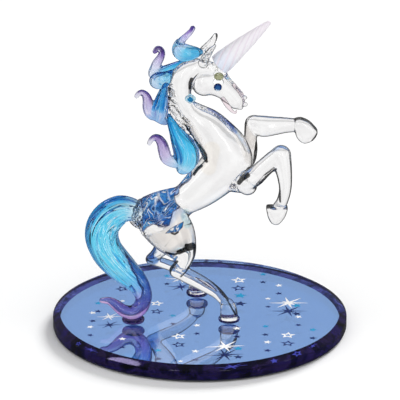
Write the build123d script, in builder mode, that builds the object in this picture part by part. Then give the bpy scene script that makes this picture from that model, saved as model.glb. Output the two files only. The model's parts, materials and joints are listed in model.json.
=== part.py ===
from build123d import *
import os
from math import cos, sin, pi, sqrt

# Rearing unicorn figurine in lamp-worked glass on a round mirror base.
# Millimetres, +Z up, the animal faces +X, origin at the centre of the disc
# on the plane the felt pads rest on.

# ---------------------------------------------------------------- dimensions
BASE_D = 127.0          # mirror disc diameter
BEVEL_W = 3.0           # polished bevel, width on the top face
BEVEL_H = 1.8           # polished bevel, height on the edge
PAD_T = 0.8             # felt pad thickness
PAD_D = 12.0            # felt pad diameter
PAD_PCD = 92.0          # circle the felt pads sit on
FILM_T = 0.3            # protective backing film
MIRROR_T = 0.1          # silvered layer
TOP_Z = 7.2             # top face of the glass disc
GLUE_T = 0.3            # adhesive film under each foot
PRINT_T = 0.08          # screen-printed enamel stars
RAY_TIP = 0.18          # width of a twinkle's ray at its end
GLASS_Z = PAD_T + FILM_T + MIRROR_T
FOOT_Z = TOP_Z + GLUE_T
EYE_R = 1.75            # crystal eye
CRYSTAL_R = 1.95        # faceted stone on the brow
BEAD_R = 1.35           # blue bead on the cheek

# Centre lines: x, y, z, radius in the side view, depth ratio of the section.
TORSO = [
    (-0.3, 3.0, 119.8, 2.97, 0.80),
    (-4.0, 3.0, 117.1, 4.46, 0.78),
    (-6.9, 3.0, 112.6, 5.10, 0.78),
    (-8.2, 3.0, 107.2, 4.75, 0.78),
    (-6.9, 3.0, 102.2, 4.80, 0.80),
    (-2.5, 3.0, 97.2, 5.97, 0.80),
    (3.1, 3.0, 91.4, 7.89, 0.80),
    (7.8, 3.0, 85.4, 9.40, 0.80),
    (11.0, 3.0, 80.4, 10.16, 0.80),
    (12.1, 3.0, 76.3, 10.27, 0.80),
    (9.7, 3.0, 71.8, 10.06, 0.83),
    (5.2, 3.0, 67.0, 9.32, 0.86),
    (0.5, 3.0, 62.6, 8.36, 0.88),
    (-3.8, 3.0, 59.0, 7.51, 0.90),
    (-7.9, 3.0, 56.2, 7.30, 0.92),
    (-12.4, 3.0, 54.1, 7.80, 0.94),
    (-17.1, 3.0, 52.3, 8.20, 0.95),
    (-21.6, 3.0, 50.9, 7.52, 0.95),
    (-25.3, 3.0, 50.0, 6.23, 0.93),
    (-28.4, 3.0, 49.4, 4.20, 0.93),
    (-29.7, 3.0, 49.1, 1.60, 0.93),
]
NECK_END, BARREL_END = 9, 14      # sections shared by neck, barrel and rump

HEAD = [
    (-2.4, 3.0, 113.2, 2.60, 0.60),
    (-0.3, 3.0, 112.6, 5.00, 0.60),
    (2.6, 3.0, 111.2, 5.95, 0.60),
    (6.0, 3.0, 109.9, 5.90, 0.62),
    (9.6, 3.0, 107.9, 5.10, 0.66),
    (13.1, 3.0, 105.3, 4.40, 0.70),
    (15.6, 3.0, 103.1, 3.80, 0.72),
    (17.5, 3.0, 101.4, 3.30, 0.72),
    (19.2, 3.0, 100.0, 2.30, 0.72),
    (20.1, 3.0, 99.3, 0.90, 0.72),
]
HORN = [
    (4.0, 3.0, 115.0, 4.60),
    (7.3, 3.0, 118.0, 4.88),
    (12.0, 3.0, 122.5, 4.46),
    (17.0, 3.0, 126.9, 3.82),
    (22.1, 3.0, 131.4, 2.86),
    (26.3, 3.0, 135.0, 2.01),
    (29.3, 3.0, 137.5, 1.27),
    (29.9, 3.0, 138.0, 0.60),
]
RIGHT_EAR = [
    (1.4, 0.0, 119.0, 2.60, 0.60),
    (2.2, -1.0, 122.5, 2.50, 0.60),
    (3.9, -1.2, 125.3, 2.15, 0.60),
    (5.4, -1.5, 127.6, 1.69, 0.60),
    (6.6, -1.5, 129.2, 1.16, 0.60),
    (7.2, -1.5, 130.1, 0.53, 0.60),
]
LEFT_EAR = [
    (0.9, 5.0, 119.1, 2.60, 0.60),
    (2.0, 7.0, 122.0, 2.50, 0.60),
    (3.5, 7.2, 124.4, 2.15, 0.60),
    (5.1, 7.4, 127.2, 1.70, 0.60),
    (6.4, 7.5, 129.5, 1.17, 0.60),
    (7.0, 7.5, 130.9, 0.53, 0.60),
]
BEARD = [
    (11.4, 3.0, 103.2, 1.60),
    (12.5, 3.0, 100.6, 1.50),
    (13.1, 3.0, 97.9, 1.10),
    (13.5, 3.0, 95.7, 0.45),
]
EYE_AT = (7.6, 109.7)
CRYSTAL_AT = (8.1, 114.2)
BEAD_AT = (-4.3, -1.0, 104.6)

# Blue mane locks and their violet curled tips.
LOCK_1 = [
    (0.6, 4.0, 121.6, 1.80),
    (-1.6, 4.0, 122.7, 2.55),
    (-5.0, 4.0, 123.2, 3.18),
    (-8.0, 4.0, 124.4, 3.40),
]
CURL_1 = [
    (-8.6, 4.0, 125.0, 2.60),
    (-9.2, 4.0, 127.7, 2.44),
    (-8.0, 4.0, 130.2, 2.01),
    (-5.8, 4.0, 132.0, 1.70),
    (-3.9, 4.0, 133.5, 1.38),
    (-3.1, 4.0, 134.6, 1.17),
]
LOCK_2 = [
    (-5.0, 5.0, 119.2, 1.49),
    (-10.1, 5.0, 118.0, 2.02),
    (-14.4, 5.0, 116.2, 2.45),
    (-18.2, 5.0, 114.6, 2.60),
]
CURL_2 = [
    (-19.2, 5.0, 114.8, 2.05),
    (-19.6, 5.0, 117.3, 2.13),
    (-18.2, 5.0, 120.0, 2.10),
    (-16.9, 5.0, 122.3, 1.70),
]
CURL_2_TIP = (-18.4, 5.0, 123.9, 1.20)
LOCK_3 = [
    (-9.4, 3.0, 116.0, 1.10),
    (-13.6, 3.0, 114.0, 2.30),
    (-16.6, 3.0, 111.6, 3.30),
    (-16.8, 3.0, 109.0, 2.80),
    (-16.3, 3.0, 107.0, 1.70),
]
LOCK_4 = [
    (-15.7, 3.0, 107.4, 1.49),
    (-15.5, 3.0, 104.9, 2.13),
    (-16.1, 3.0, 101.3, 2.88),
    (-16.5, 3.0, 98.1, 3.41),
    (-16.1, 3.0, 95.0, 2.99),
    (-14.8, 3.0, 92.2, 1.71),
]
CURL_4 = [
    (-21.2, 3.0, 95.6, 1.90),
    (-22.4, 3.0, 97.7, 2.02),
    (-22.4, 3.0, 100.9, 2.24),
    (-22.3, 3.0, 104.0, 2.05),
    (-23.5, 3.0, 106.0, 1.55),
    (-25.2, 3.0, 106.2, 1.30),
    (-26.7, 3.0, 104.8, 1.20),
]
LOCK_5 = [
    (-13.3, 3.0, 95.0, 0.95),
    (-12.1, 3.0, 92.7, 1.92),
    (-9.7, 3.0, 89.1, 3.20),
    (-7.0, 3.0, 84.8, 4.70),
    (-4.6, 3.0, 80.0, 5.77),
    (-4.0, 3.0, 75.9, 5.35),
    (-5.1, 3.0, 72.5, 3.43),
]
CURL_5 = [
    (-8.0, 3.0, 74.3, 1.95),
    (-12.5, 3.0, 74.7, 2.03),
    (-14.9, 3.0, 76.6, 2.15),
    (-15.7, 3.0, 79.5, 2.40),
    (-15.9, 3.0, 82.7, 2.30),
    (-17.4, 3.0, 85.2, 1.65),
    (-19.4, 3.0, 85.4, 1.35),
    (-21.2, 3.0, 83.2, 1.25),
]

# Legs: upper run, joint radius, lower run.
LEFT_FORE_UP = [
    (14.5, 5.5, 70.0, 4.60),
    (19.3, 9.6, 71.8, 3.90),
    (21.6, 13.0, 76.3, 3.20),
    (22.0, 14.0, 82.4, 3.10),
    (22.6, 14.0, 87.0, 3.60),
]
LEFT_FORE_LOW = [
    (23.4, 14.0, 87.8, 4.10),
    (26.5, 14.0, 87.6, 4.30),
    (31.0, 14.0, 87.4, 3.86),
    (36.1, 14.0, 87.4, 3.22),
    (40.4, 14.0, 87.4, 2.79),
]
LEFT_FORE_HOOF = [
    (40.4, 14.0, 87.4, 2.79),
    (43.0, 14.0, 86.5, 4.08),
    (46.0, 14.0, 84.9, 4.45),
    (48.2, 14.0, 83.7, 3.22),
    (49.6, 14.0, 82.9, 1.50),
]
RIGHT_FORE_UP = [
    (13.8, -0.5, 66.4, 4.00),
    (18.6, -3.4, 67.4, 4.20),
    (23.1, -6.0, 71.0, 4.26),
    (27.3, -7.0, 75.5, 4.05),
    (31.6, -8.0, 79.9, 3.90),
    (34.4, -8.0, 82.0, 4.00),
]
RIGHT_FORE_LOW = [
    (34.8, -8.0, 81.8, 4.00),
    (35.4, -8.0, 76.8, 3.90),
    (36.2, -8.0, 71.3, 3.35),
    (36.4, -8.0, 65.9, 2.85),
    (35.2, -8.0, 60.8, 2.40),
]
RIGHT_FORE_HOOF = [
    (35.2, -8.0, 60.8, 2.40),
    (33.9, -8.0, 58.1, 3.30),
    (33.0, -8.0, 55.4, 3.10),
    (32.6, -8.0, 52.4, 1.92),
    (32.5, -8.0, 51.2, 0.90),
]
RIGHT_HIND_UP = [
    (-18.2, -1.5, 53.0, 7.00, 0.62),
    (-16.4, -3.2, 50.4, 8.57, 0.62),
    (-12.8, -5.0, 46.2, 8.80, 0.62),
    (-8.9, -7.0, 41.2, 6.86, 0.72),
    (-7.2, -8.2, 36.5, 4.60, 0.90),
    (-8.2, -9.0, 32.3, 3.40, 0.97),
    (-9.9, -9.5, 29.6, 3.00, 0.97),
]
RIGHT_HIND_LOW = [
    (-9.9, -9.5, 29.4, 3.20),
    (-4.2, -10.0, 26.7, 3.43),
    (2.2, -10.5, 23.2, 3.22),
    (7.4, -11.0, 19.7, 2.58),
    (10.2, -11.0, 16.5, 2.26),
]
RIGHT_HIND_HOOF = [
    (10.2, -11.0, 16.5, 2.26),
    (11.5, -11.0, 13.7, 3.01),
    (12.4, -11.0, 10.5, 3.66),
    (12.6, -11.0, 6.8, 3.90),
]
LEFT_HIND_UP = [
    (-18.2, 7.4, 50.0, 7.00, 0.62),
    (-17.6, 9.4, 45.0, 7.60, 0.62),
    (-15.2, 11.8, 38.4, 6.70, 0.66),
    (-15.0, 14.0, 33.0, 4.40, 0.80),
    (-17.9, 15.8, 28.2, 3.00, 0.97),
    (-21.0, 17.0, 24.6, 2.25, 0.97),
]
LEFT_HIND_LOW = [
    (-21.2, 17.0, 24.2, 2.30),
    (-16.0, 18.0, 22.1, 2.39),
    (-9.5, 18.5, 19.4, 2.39),
    (-4.6, 19.0, 16.0, 2.18),
    (-2.0, 19.0, 12.6, 2.10),
]
LEFT_HIND_HOOF = [
    (-2.0, 19.0, 12.6, 2.10),
    (-1.3, 19.0, 10.2, 2.84),
    (-1.0, 19.0, 6.9, 3.71),
]
TAIL = [
    (-24.6, 1.6, 51.0, 3.80),
    (-27.4, 1.0, 52.8, 4.40),
    (-30.4, 0.0, 54.2, 5.15),
    (-34.2, -1.0, 54.3, 6.00),
    (-38.3, -3.0, 52.3, 6.60),
    (-41.1, -5.0, 48.6, 7.00),
    (-41.8, -7.0, 44.0, 7.07),
    (-40.2, -9.0, 39.2, 6.85),
    (-36.8, -10.0, 34.6, 6.64),
    (-32.5, -11.0, 30.3, 6.00),
    (-28.2, -12.0, 26.4, 5.14),
]
TAIL_CURL = [
    (-28.2, -12.0, 26.4, 5.14),
    (-25.4, -12.0, 22.4, 4.35),
    (-24.2, -12.0, 17.8, 3.65),
    (-25.6, -12.0, 13.4, 3.40),
    (-29.0, -12.0, 11.2, 3.10),
    (-32.8, -12.0, 12.0, 2.70),
    (-36.0, -12.0, 14.6, 2.30),
    (-39.0, -12.0, 16.5, 1.72),
    (-42.0, -12.0, 16.7, 1.15),
]
TAIL_FOOT_AT = (-28.7, -12.0)
TAIL_FOOT_R = 4.6
HOOF_GLUE_R = 4.1

# Printed stars: shape, x, y, outer radius, turn in degrees.
WHITE_STARS = [
    ("outline", 17.1, 35.2, 3.5, 8), ("outline", 37.6, -28.2, 3.3, -6),
    ("outline", -9.0, -29.5, 3.3, 14), ("outline", -18.7, 8.0, 3.1, -10),
    ("outline", -34.2, 34.3, 3.3, 20),
    ("twinkle", 38.5, 8.5, 8.3, 0), ("twinkle", 10.7, -40.7, 8.3, 0),
    ("twinkle", -39.0, -7.3, 5.2, 0), ("twinkle", -8.3, 36.7, 6.5, 0),
    ("solid", 34.7, 29.0, 1.6, 10), ("solid", 29.7, 13.5, 1.2, 0),
    ("solid", 42.5, -7.4, 1.4, 25), ("solid", 28.8, -35.9, 1.6, -12),
    ("solid", 15.9, -20.5, 1.9, 5), ("solid", -46.3, -2.8, 1.7, 18),
    ("solid", -47.0, -18.9, 1.5, -20), ("solid", -33.0, -32.3, 1.6, 0),
    ("solid", -1.2, -17.1, 1.4, 12), ("solid", -1.9, -46.0, 1.7, -8),
    ("solid", -8.1, -57.0, 1.2, 0), ("solid", -33.6, 10.9, 1.1, 15),
]
BLUE_STARS = [
    ("solid", 17.6, 17.1, 3.1, -8), ("solid", 42.0, 5.5, 2.0, 16),
    ("solid", 27.9, 42.3, 1.7, 0), ("solid", 28.2, -18.2, 1.6, 9),
    ("solid", 48.4, -22.1, 1.8, -15), ("solid", 16.3, -43.0, 2.2, 0),
    ("solid", -11.6, -6.1, 1.6, 20), ("solid", -44.2, 8.2, 1.6, -5),
    ("solid", -17.6, -45.0, 1.7, 11), ("solid", -14.5, 40.3, 1.5, 0),
]


# ------------------------------------------------------------------- helpers
def unit(v):
    n = sqrt(sum(c * c for c in v))
    return tuple(c / n for c in v)


def sections(rows, first=0, last=None):
    """Planes square to a centre line, each with its two radii.

    The plane's x axis lies along the animal's width, so the sections of one
    run never twist. first and last pick part of a longer run, whose planes
    stay those of the whole run.
    """
    last = len(rows) - 1 if last is None else last
    out = []
    for i in range(first, last + 1):
        a, b = rows[max(i - 1, 0)], rows[min(i + 1, len(rows) - 1)]
        t = unit((b[0] - a[0], b[1] - a[1], b[2] - a[2]))
        w = (-t[0] * t[1], 1 - t[1] * t[1], -t[2] * t[1])
        r = rows[i]
        ratio = r[4] if len(r) > 4 else 1.0
        out.append((Plane(origin=r[:3], x_dir=unit(w), z_dir=t), r[3] * ratio, r[3]))
    return out


def star_points(kind, x, y, radius, turn):
    """Corner points of one printed star. A twinkle's rays end blunt, RAY_TIP wide."""
    pts = []
    if kind == "twinkle":
        rays = [1.0, 0.42, 0.78, 0.42] * 2
        for i, ray in enumerate(rays):
            a = turn * pi / 180 + pi * i / 4
            for side in (-1, 1):
                pts.append((x + radius * ray * cos(a) - side * RAY_TIP / 2 * sin(a),
                            y + radius * ray * sin(a) + side * RAY_TIP / 2 * cos(a)))
            b = a + pi / 8
            pts.append((x + radius * 0.13 * cos(b), y + radius * 0.13 * sin(b)))
        return pts
    for i in range(10):
        a = pi / 2 + turn * pi / 180 + pi * i / 5
        r = radius * (1.0 if i % 2 == 0 else 0.42)
        pts.append((x + r * cos(a), y + r * sin(a)))
    return pts


os.makedirs("parts", exist_ok=True)

# ---------------------------------------------------------------------- base
with BuildPart() as felt_pads:
    with BuildSketch(Plane.XY):
        with PolarLocations(PAD_PCD / 2, 4, start_angle=45):
            Circle(PAD_D / 2)
    extrude(amount=PAD_T)
felt_pads.part.label = "felt_pads"

with BuildPart() as backing_film:
    with BuildSketch(Plane.XY.offset(PAD_T)):
        Circle(BASE_D / 2 - 0.3)
    extrude(amount=FILM_T)
backing_film.part.label = "backing_film"

with BuildPart() as mirror_layer:
    with BuildSketch(Plane.XY.offset(PAD_T + FILM_T)):
        Circle(BASE_D / 2 - 0.2)
    extrude(amount=MIRROR_T)
mirror_layer.part.label = "mirror_layer"

# The disc is turned: a seamed lower edge, an upright edge and a bevel.
with BuildPart() as base_glass:
    with BuildSketch(Plane.XZ):
        with BuildLine():
            Polyline(
                (0, GLASS_Z), (BASE_D / 2 - 0.3, GLASS_Z), (BASE_D / 2, GLASS_Z + 0.3),
                (BASE_D / 2, TOP_Z - BEVEL_H), (BASE_D / 2 - BEVEL_W, TOP_Z), (0, TOP_Z),
                close=True,
            )
        make_face()
    revolve(axis=Axis.Z, revolution_arc=360)
base_glass.part.label = "base_glass"

with BuildPart() as white_star_prints:
    with BuildSketch(Plane.XY.offset(TOP_Z)):
        for star in WHITE_STARS:
            Polygon(*star_points(*star), align=None)
            if star[0] == "outline":
                Polygon(*star_points(star[0], star[1], star[2], star[3] * 0.66, star[4]),
                        align=None, mode=Mode.SUBTRACT)
    extrude(amount=PRINT_T)
white_star_prints.part.label = "white_star_prints"

with BuildPart() as blue_star_prints:
    with BuildSketch(Plane.XY.offset(TOP_Z)):
        for star in BLUE_STARS:
            Polygon(*star_points(*star), align=None)
    extrude(amount=PRINT_T)
blue_star_prints.part.label = "blue_star_prints"

# ---------------------------------------------------- body, one run in three
with BuildPart() as neck:
    for plane, rx, ry in sections(TORSO, 0, NECK_END):
        with BuildSketch(plane):
            Ellipse(rx, ry)
    loft()
neck.part.label = "neck"

with BuildPart() as barrel:
    for plane, rx, ry in sections(TORSO, NECK_END, BARREL_END):
        with BuildSketch(plane):
            Ellipse(rx, ry)
    loft()
    # the neck's end face is the barrel's own section; anything of the neck
    # that leans past it at the withers stays with the neck
    add(neck.part, mode=Mode.SUBTRACT)
barrel.part.label = "barrel"

with BuildPart() as hindquarters:
    for plane, rx, ry in sections(TORSO, BARREL_END):
        with BuildSketch(plane):
            Ellipse(rx, ry)
    loft()
    add(barrel.part, mode=Mode.SUBTRACT)
hindquarters.part.label = "hindquarters"

# ---------------------------------------------------------------------- head
with BuildPart() as head:
    for plane, rx, ry in sections(HEAD):
        with BuildSketch(plane):
            Ellipse(rx, ry)
    loft()
    # nostril and lip swellings of the muzzle
    with Locations((19.6, 3.0, 103.3), (20.6, 3.0, 100.3)):
        Sphere(1.15)
    add(neck.part, mode=Mode.SUBTRACT)
head.part.label = "head"

with BuildPart() as horn:
    for plane, rx, ry in sections(HORN):
        with BuildSketch(plane):
            Circle(rx)
    loft()
    add(head.part, mode=Mode.SUBTRACT)
    add(neck.part, mode=Mode.SUBTRACT)
horn.part.label = "horn"

with BuildPart() as right_ear:
    for plane, rx, ry in sections(RIGHT_EAR):
        with BuildSketch(plane):
            Ellipse(rx, ry)
    loft()
    add(neck.part, mode=Mode.SUBTRACT)
    add(head.part, mode=Mode.SUBTRACT)
    add(horn.part, mode=Mode.SUBTRACT)
right_ear.part.label = "right_ear"

with BuildPart() as left_ear:
    for plane, rx, ry in sections(LEFT_EAR):
        with BuildSketch(plane):
            Ellipse(rx, ry)
    loft()
    add(neck.part, mode=Mode.SUBTRACT)
    add(head.part, mode=Mode.SUBTRACT)
    add(horn.part, mode=Mode.SUBTRACT)
left_ear.part.label = "left_ear"

# crystal eyes and brow stones, set into the head on both sides
with BuildPart() as right_eye:
    with Locations((EYE_AT[0], -0.35, EYE_AT[1])):
        Sphere(EYE_R, rotation=(90, 0, 0))
    add(head.part, mode=Mode.SUBTRACT)
right_eye.part.label = "right_eye"

with BuildPart() as left_eye:
    with Locations((EYE_AT[0], 6.35, EYE_AT[1])):
        Sphere(EYE_R, rotation=(90, 0, 0))
    add(head.part, mode=Mode.SUBTRACT)
left_eye.part.label = "left_eye"

with BuildPart() as right_brow_stone:
    with BuildSketch(Plane(origin=(CRYSTAL_AT[0], 0.9, CRYSTAL_AT[1]), z_dir=(0, -1, 0))):
        RegularPolygon(CRYSTAL_R, 6)
    extrude(amount=1.7, taper=22)
    add(head.part, mode=Mode.SUBTRACT)
    add(horn.part, mode=Mode.SUBTRACT)
right_brow_stone.part.label = "right_brow_stone"

with BuildPart() as left_brow_stone:
    with BuildSketch(Plane(origin=(CRYSTAL_AT[0], 5.1, CRYSTAL_AT[1]), z_dir=(0, 1, 0))):
        RegularPolygon(CRYSTAL_R, 6)
    extrude(amount=1.7, taper=22)
    add(head.part, mode=Mode.SUBTRACT)
    add(horn.part, mode=Mode.SUBTRACT)
left_brow_stone.part.label = "left_brow_stone"

with BuildPart() as cheek_bead:
    with Locations(BEAD_AT):
        Sphere(BEAD_R)
    add(neck.part, mode=Mode.SUBTRACT)
    add(head.part, mode=Mode.SUBTRACT)
cheek_bead.part.label = "cheek_bead"

with BuildPart() as beard:
    for plane, rx, ry in sections(BEARD):
        with BuildSketch(plane):
            Circle(rx)
    loft()
    add(head.part, mode=Mode.SUBTRACT)
beard.part.label = "beard"

# ---------------------------------------------------------------------- mane
with BuildPart() as mane_lock_1:
    for plane, rx, ry in sections(LOCK_1):
        with BuildSketch(plane):
            Circle(rx)
    loft()
    with Locations(LOCK_1[-1][:3]):
        Sphere(LOCK_1[-1][3] + 0.12)
    add(neck.part, mode=Mode.SUBTRACT)
    add(head.part, mode=Mode.SUBTRACT)
    add(horn.part, mode=Mode.SUBTRACT)
    add(right_ear.part, mode=Mode.SUBTRACT)
    add(left_ear.part, mode=Mode.SUBTRACT)
mane_lock_1.part.label = "mane_lock_1"

with BuildPart() as mane_tip_1:
    for plane, rx, ry in sections(CURL_1):
        with BuildSketch(plane):
            Circle(rx)
    loft()
    with Locations(CURL_1[-1][:3]):
        Sphere(CURL_1[-1][3] + 0.1)
    add(mane_lock_1.part, mode=Mode.SUBTRACT)
mane_tip_1.part.label = "mane_tip_1"

with BuildPart() as mane_lock_2:
    for plane, rx, ry in sections(LOCK_2):
        with BuildSketch(plane):
            Circle(rx)
    loft()
    with Locations(LOCK_2[-1][:3]):
        Sphere(LOCK_2[-1][3] + 0.15)
    add(neck.part, mode=Mode.SUBTRACT)
    add(mane_lock_1.part, mode=Mode.SUBTRACT)
mane_lock_2.part.label = "mane_lock_2"

with BuildPart() as mane_tip_2:
    for plane, rx, ry in sections(CURL_2):
        with BuildSketch(plane):
            Circle(rx)
    loft()
    with Locations(CURL_2[-1][:3]):
        Sphere(CURL_2[-1][3] + 0.1)
    with Locations(CURL_2_TIP[:3]):
        Sphere(CURL_2_TIP[3])
    add(mane_lock_2.part, mode=Mode.SUBTRACT)
mane_tip_2.part.label = "mane_tip_2"

with BuildPart() as mane_lock_3:
    for plane, rx, ry in sections(LOCK_3):
        with BuildSketch(plane):
            Circle(rx)
    loft()
    add(neck.part, mode=Mode.SUBTRACT)
    add(mane_lock_2.part, mode=Mode.SUBTRACT)
    add(mane_tip_2.part, mode=Mode.SUBTRACT)
mane_lock_3.part.label = "mane_lock_3"

with BuildPart() as mane_lock_4:
    for plane, rx, ry in sections(LOCK_4):
        with BuildSketch(plane):
            Circle(rx)
    loft()
    add(neck.part, mode=Mode.SUBTRACT)
    add(mane_lock_3.part, mode=Mode.SUBTRACT)
mane_lock_4.part.label = "mane_lock_4"

with BuildPart() as mane_tip_4:
    for plane, rx, ry in sections(CURL_4):
        with BuildSketch(plane):
            Circle(rx)
    loft()
    with Locations((-20.4, 3.0, 95.4), (-19.0, 3.0, 95.2)):
        Sphere(2.2)
    with Locations(CURL_4[-1][:3]):
        Sphere(CURL_4[-1][3] + 0.1)
    add(mane_lock_4.part, mode=Mode.SUBTRACT)
mane_tip_4.part.label = "mane_tip_4"

with BuildPart() as mane_lock_5:
    for plane, rx, ry in sections(LOCK_5):
        with BuildSketch(plane):
            Circle(rx)
    loft()
    add(neck.part, mode=Mode.SUBTRACT)
    add(barrel.part, mode=Mode.SUBTRACT)
    add(mane_lock_4.part, mode=Mode.SUBTRACT)
mane_lock_5.part.label = "mane_lock_5"

with BuildPart() as mane_tip_5:
    for plane, rx, ry in sections(CURL_5):
        with BuildSketch(plane):
            Circle(rx)
    loft()
    with Locations(CURL_5[-1][:3]):
        Sphere(CURL_5[-1][3] + 0.1)
    add(mane_lock_5.part, mode=Mode.SUBTRACT)
mane_tip_5.part.label = "mane_tip_5"

# ---------------------------------------------------------------------- legs
with BuildPart() as left_foreleg:
    for plane, rx, ry in sections(LEFT_FORE_UP):
        with BuildSketch(plane):
            Circle(rx)
    loft()
    for plane, rx, ry in sections(LEFT_FORE_LOW):
        with BuildSketch(plane):
            Circle(rx)
    loft()
    with Locations(LEFT_FORE_LOW[0][:3]):
        Sphere(LEFT_FORE_LOW[0][3] + 0.2)
    add(neck.part, mode=Mode.SUBTRACT)
    add(barrel.part, mode=Mode.SUBTRACT)
left_foreleg.part.label = "left_foreleg"

with BuildPart() as left_fore_hoof:
    for plane, rx, ry in sections(LEFT_FORE_HOOF):
        with BuildSketch(plane):
            Circle(rx)
    loft()
    add(left_foreleg.part, mode=Mode.SUBTRACT)
left_fore_hoof.part.label = "left_fore_hoof"

with BuildPart() as right_foreleg:
    for plane, rx, ry in sections(RIGHT_FORE_UP):
        with BuildSketch(plane):
            Circle(rx)
    loft()
    for plane, rx, ry in sections(RIGHT_FORE_LOW):
        with BuildSketch(plane):
            Circle(rx)
    loft()
    with Locations(RIGHT_FORE_LOW[0][:3]):
        Sphere(RIGHT_FORE_LOW[0][3] + 0.2)
    add(neck.part, mode=Mode.SUBTRACT)
    add(barrel.part, mode=Mode.SUBTRACT)
right_foreleg.part.label = "right_foreleg"

with BuildPart() as right_fore_hoof:
    for plane, rx, ry in sections(RIGHT_FORE_HOOF):
        with BuildSketch(plane):
            Circle(rx)
    loft()
    add(right_foreleg.part, mode=Mode.SUBTRACT)
right_fore_hoof.part.label = "right_fore_hoof"

with BuildPart() as right_hind_leg:
    for plane, rx, ry in sections(RIGHT_HIND_UP):
        with BuildSketch(plane):
            Ellipse(rx, ry)
    loft()
    for plane, rx, ry in sections(RIGHT_HIND_LOW):
        with BuildSketch(plane):
            Circle(rx)
    loft()
    with Locations(RIGHT_HIND_LOW[0][:3]):
        Sphere(RIGHT_HIND_LOW[0][3] + 0.15)
    add(hindquarters.part, mode=Mode.SUBTRACT)
    add(barrel.part, mode=Mode.SUBTRACT)
right_hind_leg.part.label = "right_hind_leg"

with BuildPart() as left_hind_leg:
    for plane, rx, ry in sections(LEFT_HIND_UP):
        with BuildSketch(plane):
            Ellipse(rx, ry)
    loft()
    for plane, rx, ry in sections(LEFT_HIND_LOW):
        with BuildSketch(plane):
            Circle(rx)
    loft()
    with Locations(LEFT_HIND_LOW[0][:3]):
        Sphere(LEFT_HIND_LOW[0][3] + 0.15)
    add(hindquarters.part, mode=Mode.SUBTRACT)
    add(barrel.part, mode=Mode.SUBTRACT)
    add(right_hind_leg.part, mode=Mode.SUBTRACT)
left_hind_leg.part.label = "left_hind_leg"

with BuildPart() as right_hind_hoof:
    for plane, rx, ry in sections(RIGHT_HIND_HOOF):
        with BuildSketch(plane):
            Circle(rx)
    loft()
    add(right_hind_leg.part, mode=Mode.SUBTRACT)
    split(bisect_by=Plane.XY.offset(FOOT_Z), keep=Keep.TOP)
right_hind_hoof.part.label = "right_hind_hoof"

with BuildPart() as left_hind_hoof:
    for plane, rx, ry in sections(LEFT_HIND_HOOF):
        with BuildSketch(plane):
            Circle(rx)
    loft()
    add(left_hind_leg.part, mode=Mode.SUBTRACT)
    split(bisect_by=Plane.XY.offset(FOOT_Z), keep=Keep.TOP)
left_hind_hoof.part.label = "left_hind_hoof"

# ---------------------------------------------------------------------- tail
with BuildPart() as tail:
    for plane, rx, ry in sections(TAIL + TAIL_CURL[1:], 0, len(TAIL) - 1):
        with BuildSketch(plane):
            Circle(rx)
    loft()
    add(hindquarters.part, mode=Mode.SUBTRACT)
tail.part.label = "tail"

# violet lower end, with a round foot that stands on the disc
with BuildPart() as tail_curl:
    for plane, rx, ry in sections(TAIL + TAIL_CURL[1:], len(TAIL) - 1):
        with BuildSketch(plane):
            Circle(rx)
    loft()
    with Locations(TAIL_CURL[-1][:3]):
        Sphere(TAIL_CURL[-1][3] + 0.08)
    with BuildSketch(Plane.XY.offset(FOOT_Z)):
        with Locations(TAIL_FOOT_AT):
            Circle(TAIL_FOOT_R)
    extrude(amount=1.7, taper=8)
    add(tail.part, mode=Mode.SUBTRACT)
    split(bisect_by=Plane.XY.offset(FOOT_Z), keep=Keep.TOP)
tail_curl.part.label = "tail_curl"

# -------------------------------------------------------------- adhesive films
with BuildPart() as tail_glue:
    with BuildSketch(Plane.XY.offset(TOP_Z)):
        with Locations(TAIL_FOOT_AT):
            Circle(TAIL_FOOT_R + 0.4)
    extrude(amount=GLUE_T)
tail_glue.part.label = "tail_glue"

with BuildPart() as left_hind_glue:
    with BuildSketch(Plane.XY.offset(TOP_Z)):
        with Locations((LEFT_HIND_HOOF[-1][0], LEFT_HIND_HOOF[-1][1])):
            Circle(HOOF_GLUE_R)
    extrude(amount=GLUE_T)
left_hind_glue.part.label = "left_hind_glue"

with BuildPart() as right_hind_glue:
    with BuildSketch(Plane.XY.offset(TOP_Z)):
        with Locations((RIGHT_HIND_HOOF[-1][0], RIGHT_HIND_HOOF[-1][1])):
            Circle(HOOF_GLUE_R)
    extrude(amount=GLUE_T)
right_hind_glue.part.label = "right_hind_glue"

# ---------------------------------------------------------------------- output
export_step(felt_pads.part, "parts/felt_pads.step")
export_step(backing_film.part, "parts/backing_film.step")
export_step(mirror_layer.part, "parts/mirror_layer.step")
export_step(base_glass.part, "parts/base_glass.step")
export_step(white_star_prints.part, "parts/white_star_prints.step")
export_step(blue_star_prints.part, "parts/blue_star_prints.step")
export_step(neck.part, "parts/neck.step")
export_step(barrel.part, "parts/barrel.step")
export_step(hindquarters.part, "parts/hindquarters.step")
export_step(head.part, "parts/head.step")
export_step(horn.part, "parts/horn.step")
export_step(right_ear.part, "parts/right_ear.step")
export_step(left_ear.part, "parts/left_ear.step")
export_step(right_eye.part, "parts/right_eye.step")
export_step(left_eye.part, "parts/left_eye.step")
export_step(right_brow_stone.part, "parts/right_brow_stone.step")
export_step(left_brow_stone.part, "parts/left_brow_stone.step")
export_step(cheek_bead.part, "parts/cheek_bead.step")
export_step(beard.part, "parts/beard.step")
export_step(mane_lock_1.part, "parts/mane_lock_1.step")
export_step(mane_tip_1.part, "parts/mane_tip_1.step")
export_step(mane_lock_2.part, "parts/mane_lock_2.step")
export_step(mane_tip_2.part, "parts/mane_tip_2.step")
export_step(mane_lock_3.part, "parts/mane_lock_3.step")
export_step(mane_lock_4.part, "parts/mane_lock_4.step")
export_step(mane_tip_4.part, "parts/mane_tip_4.step")
export_step(mane_lock_5.part, "parts/mane_lock_5.step")
export_step(mane_tip_5.part, "parts/mane_tip_5.step")
export_step(left_foreleg.part, "parts/left_foreleg.step")
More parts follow.
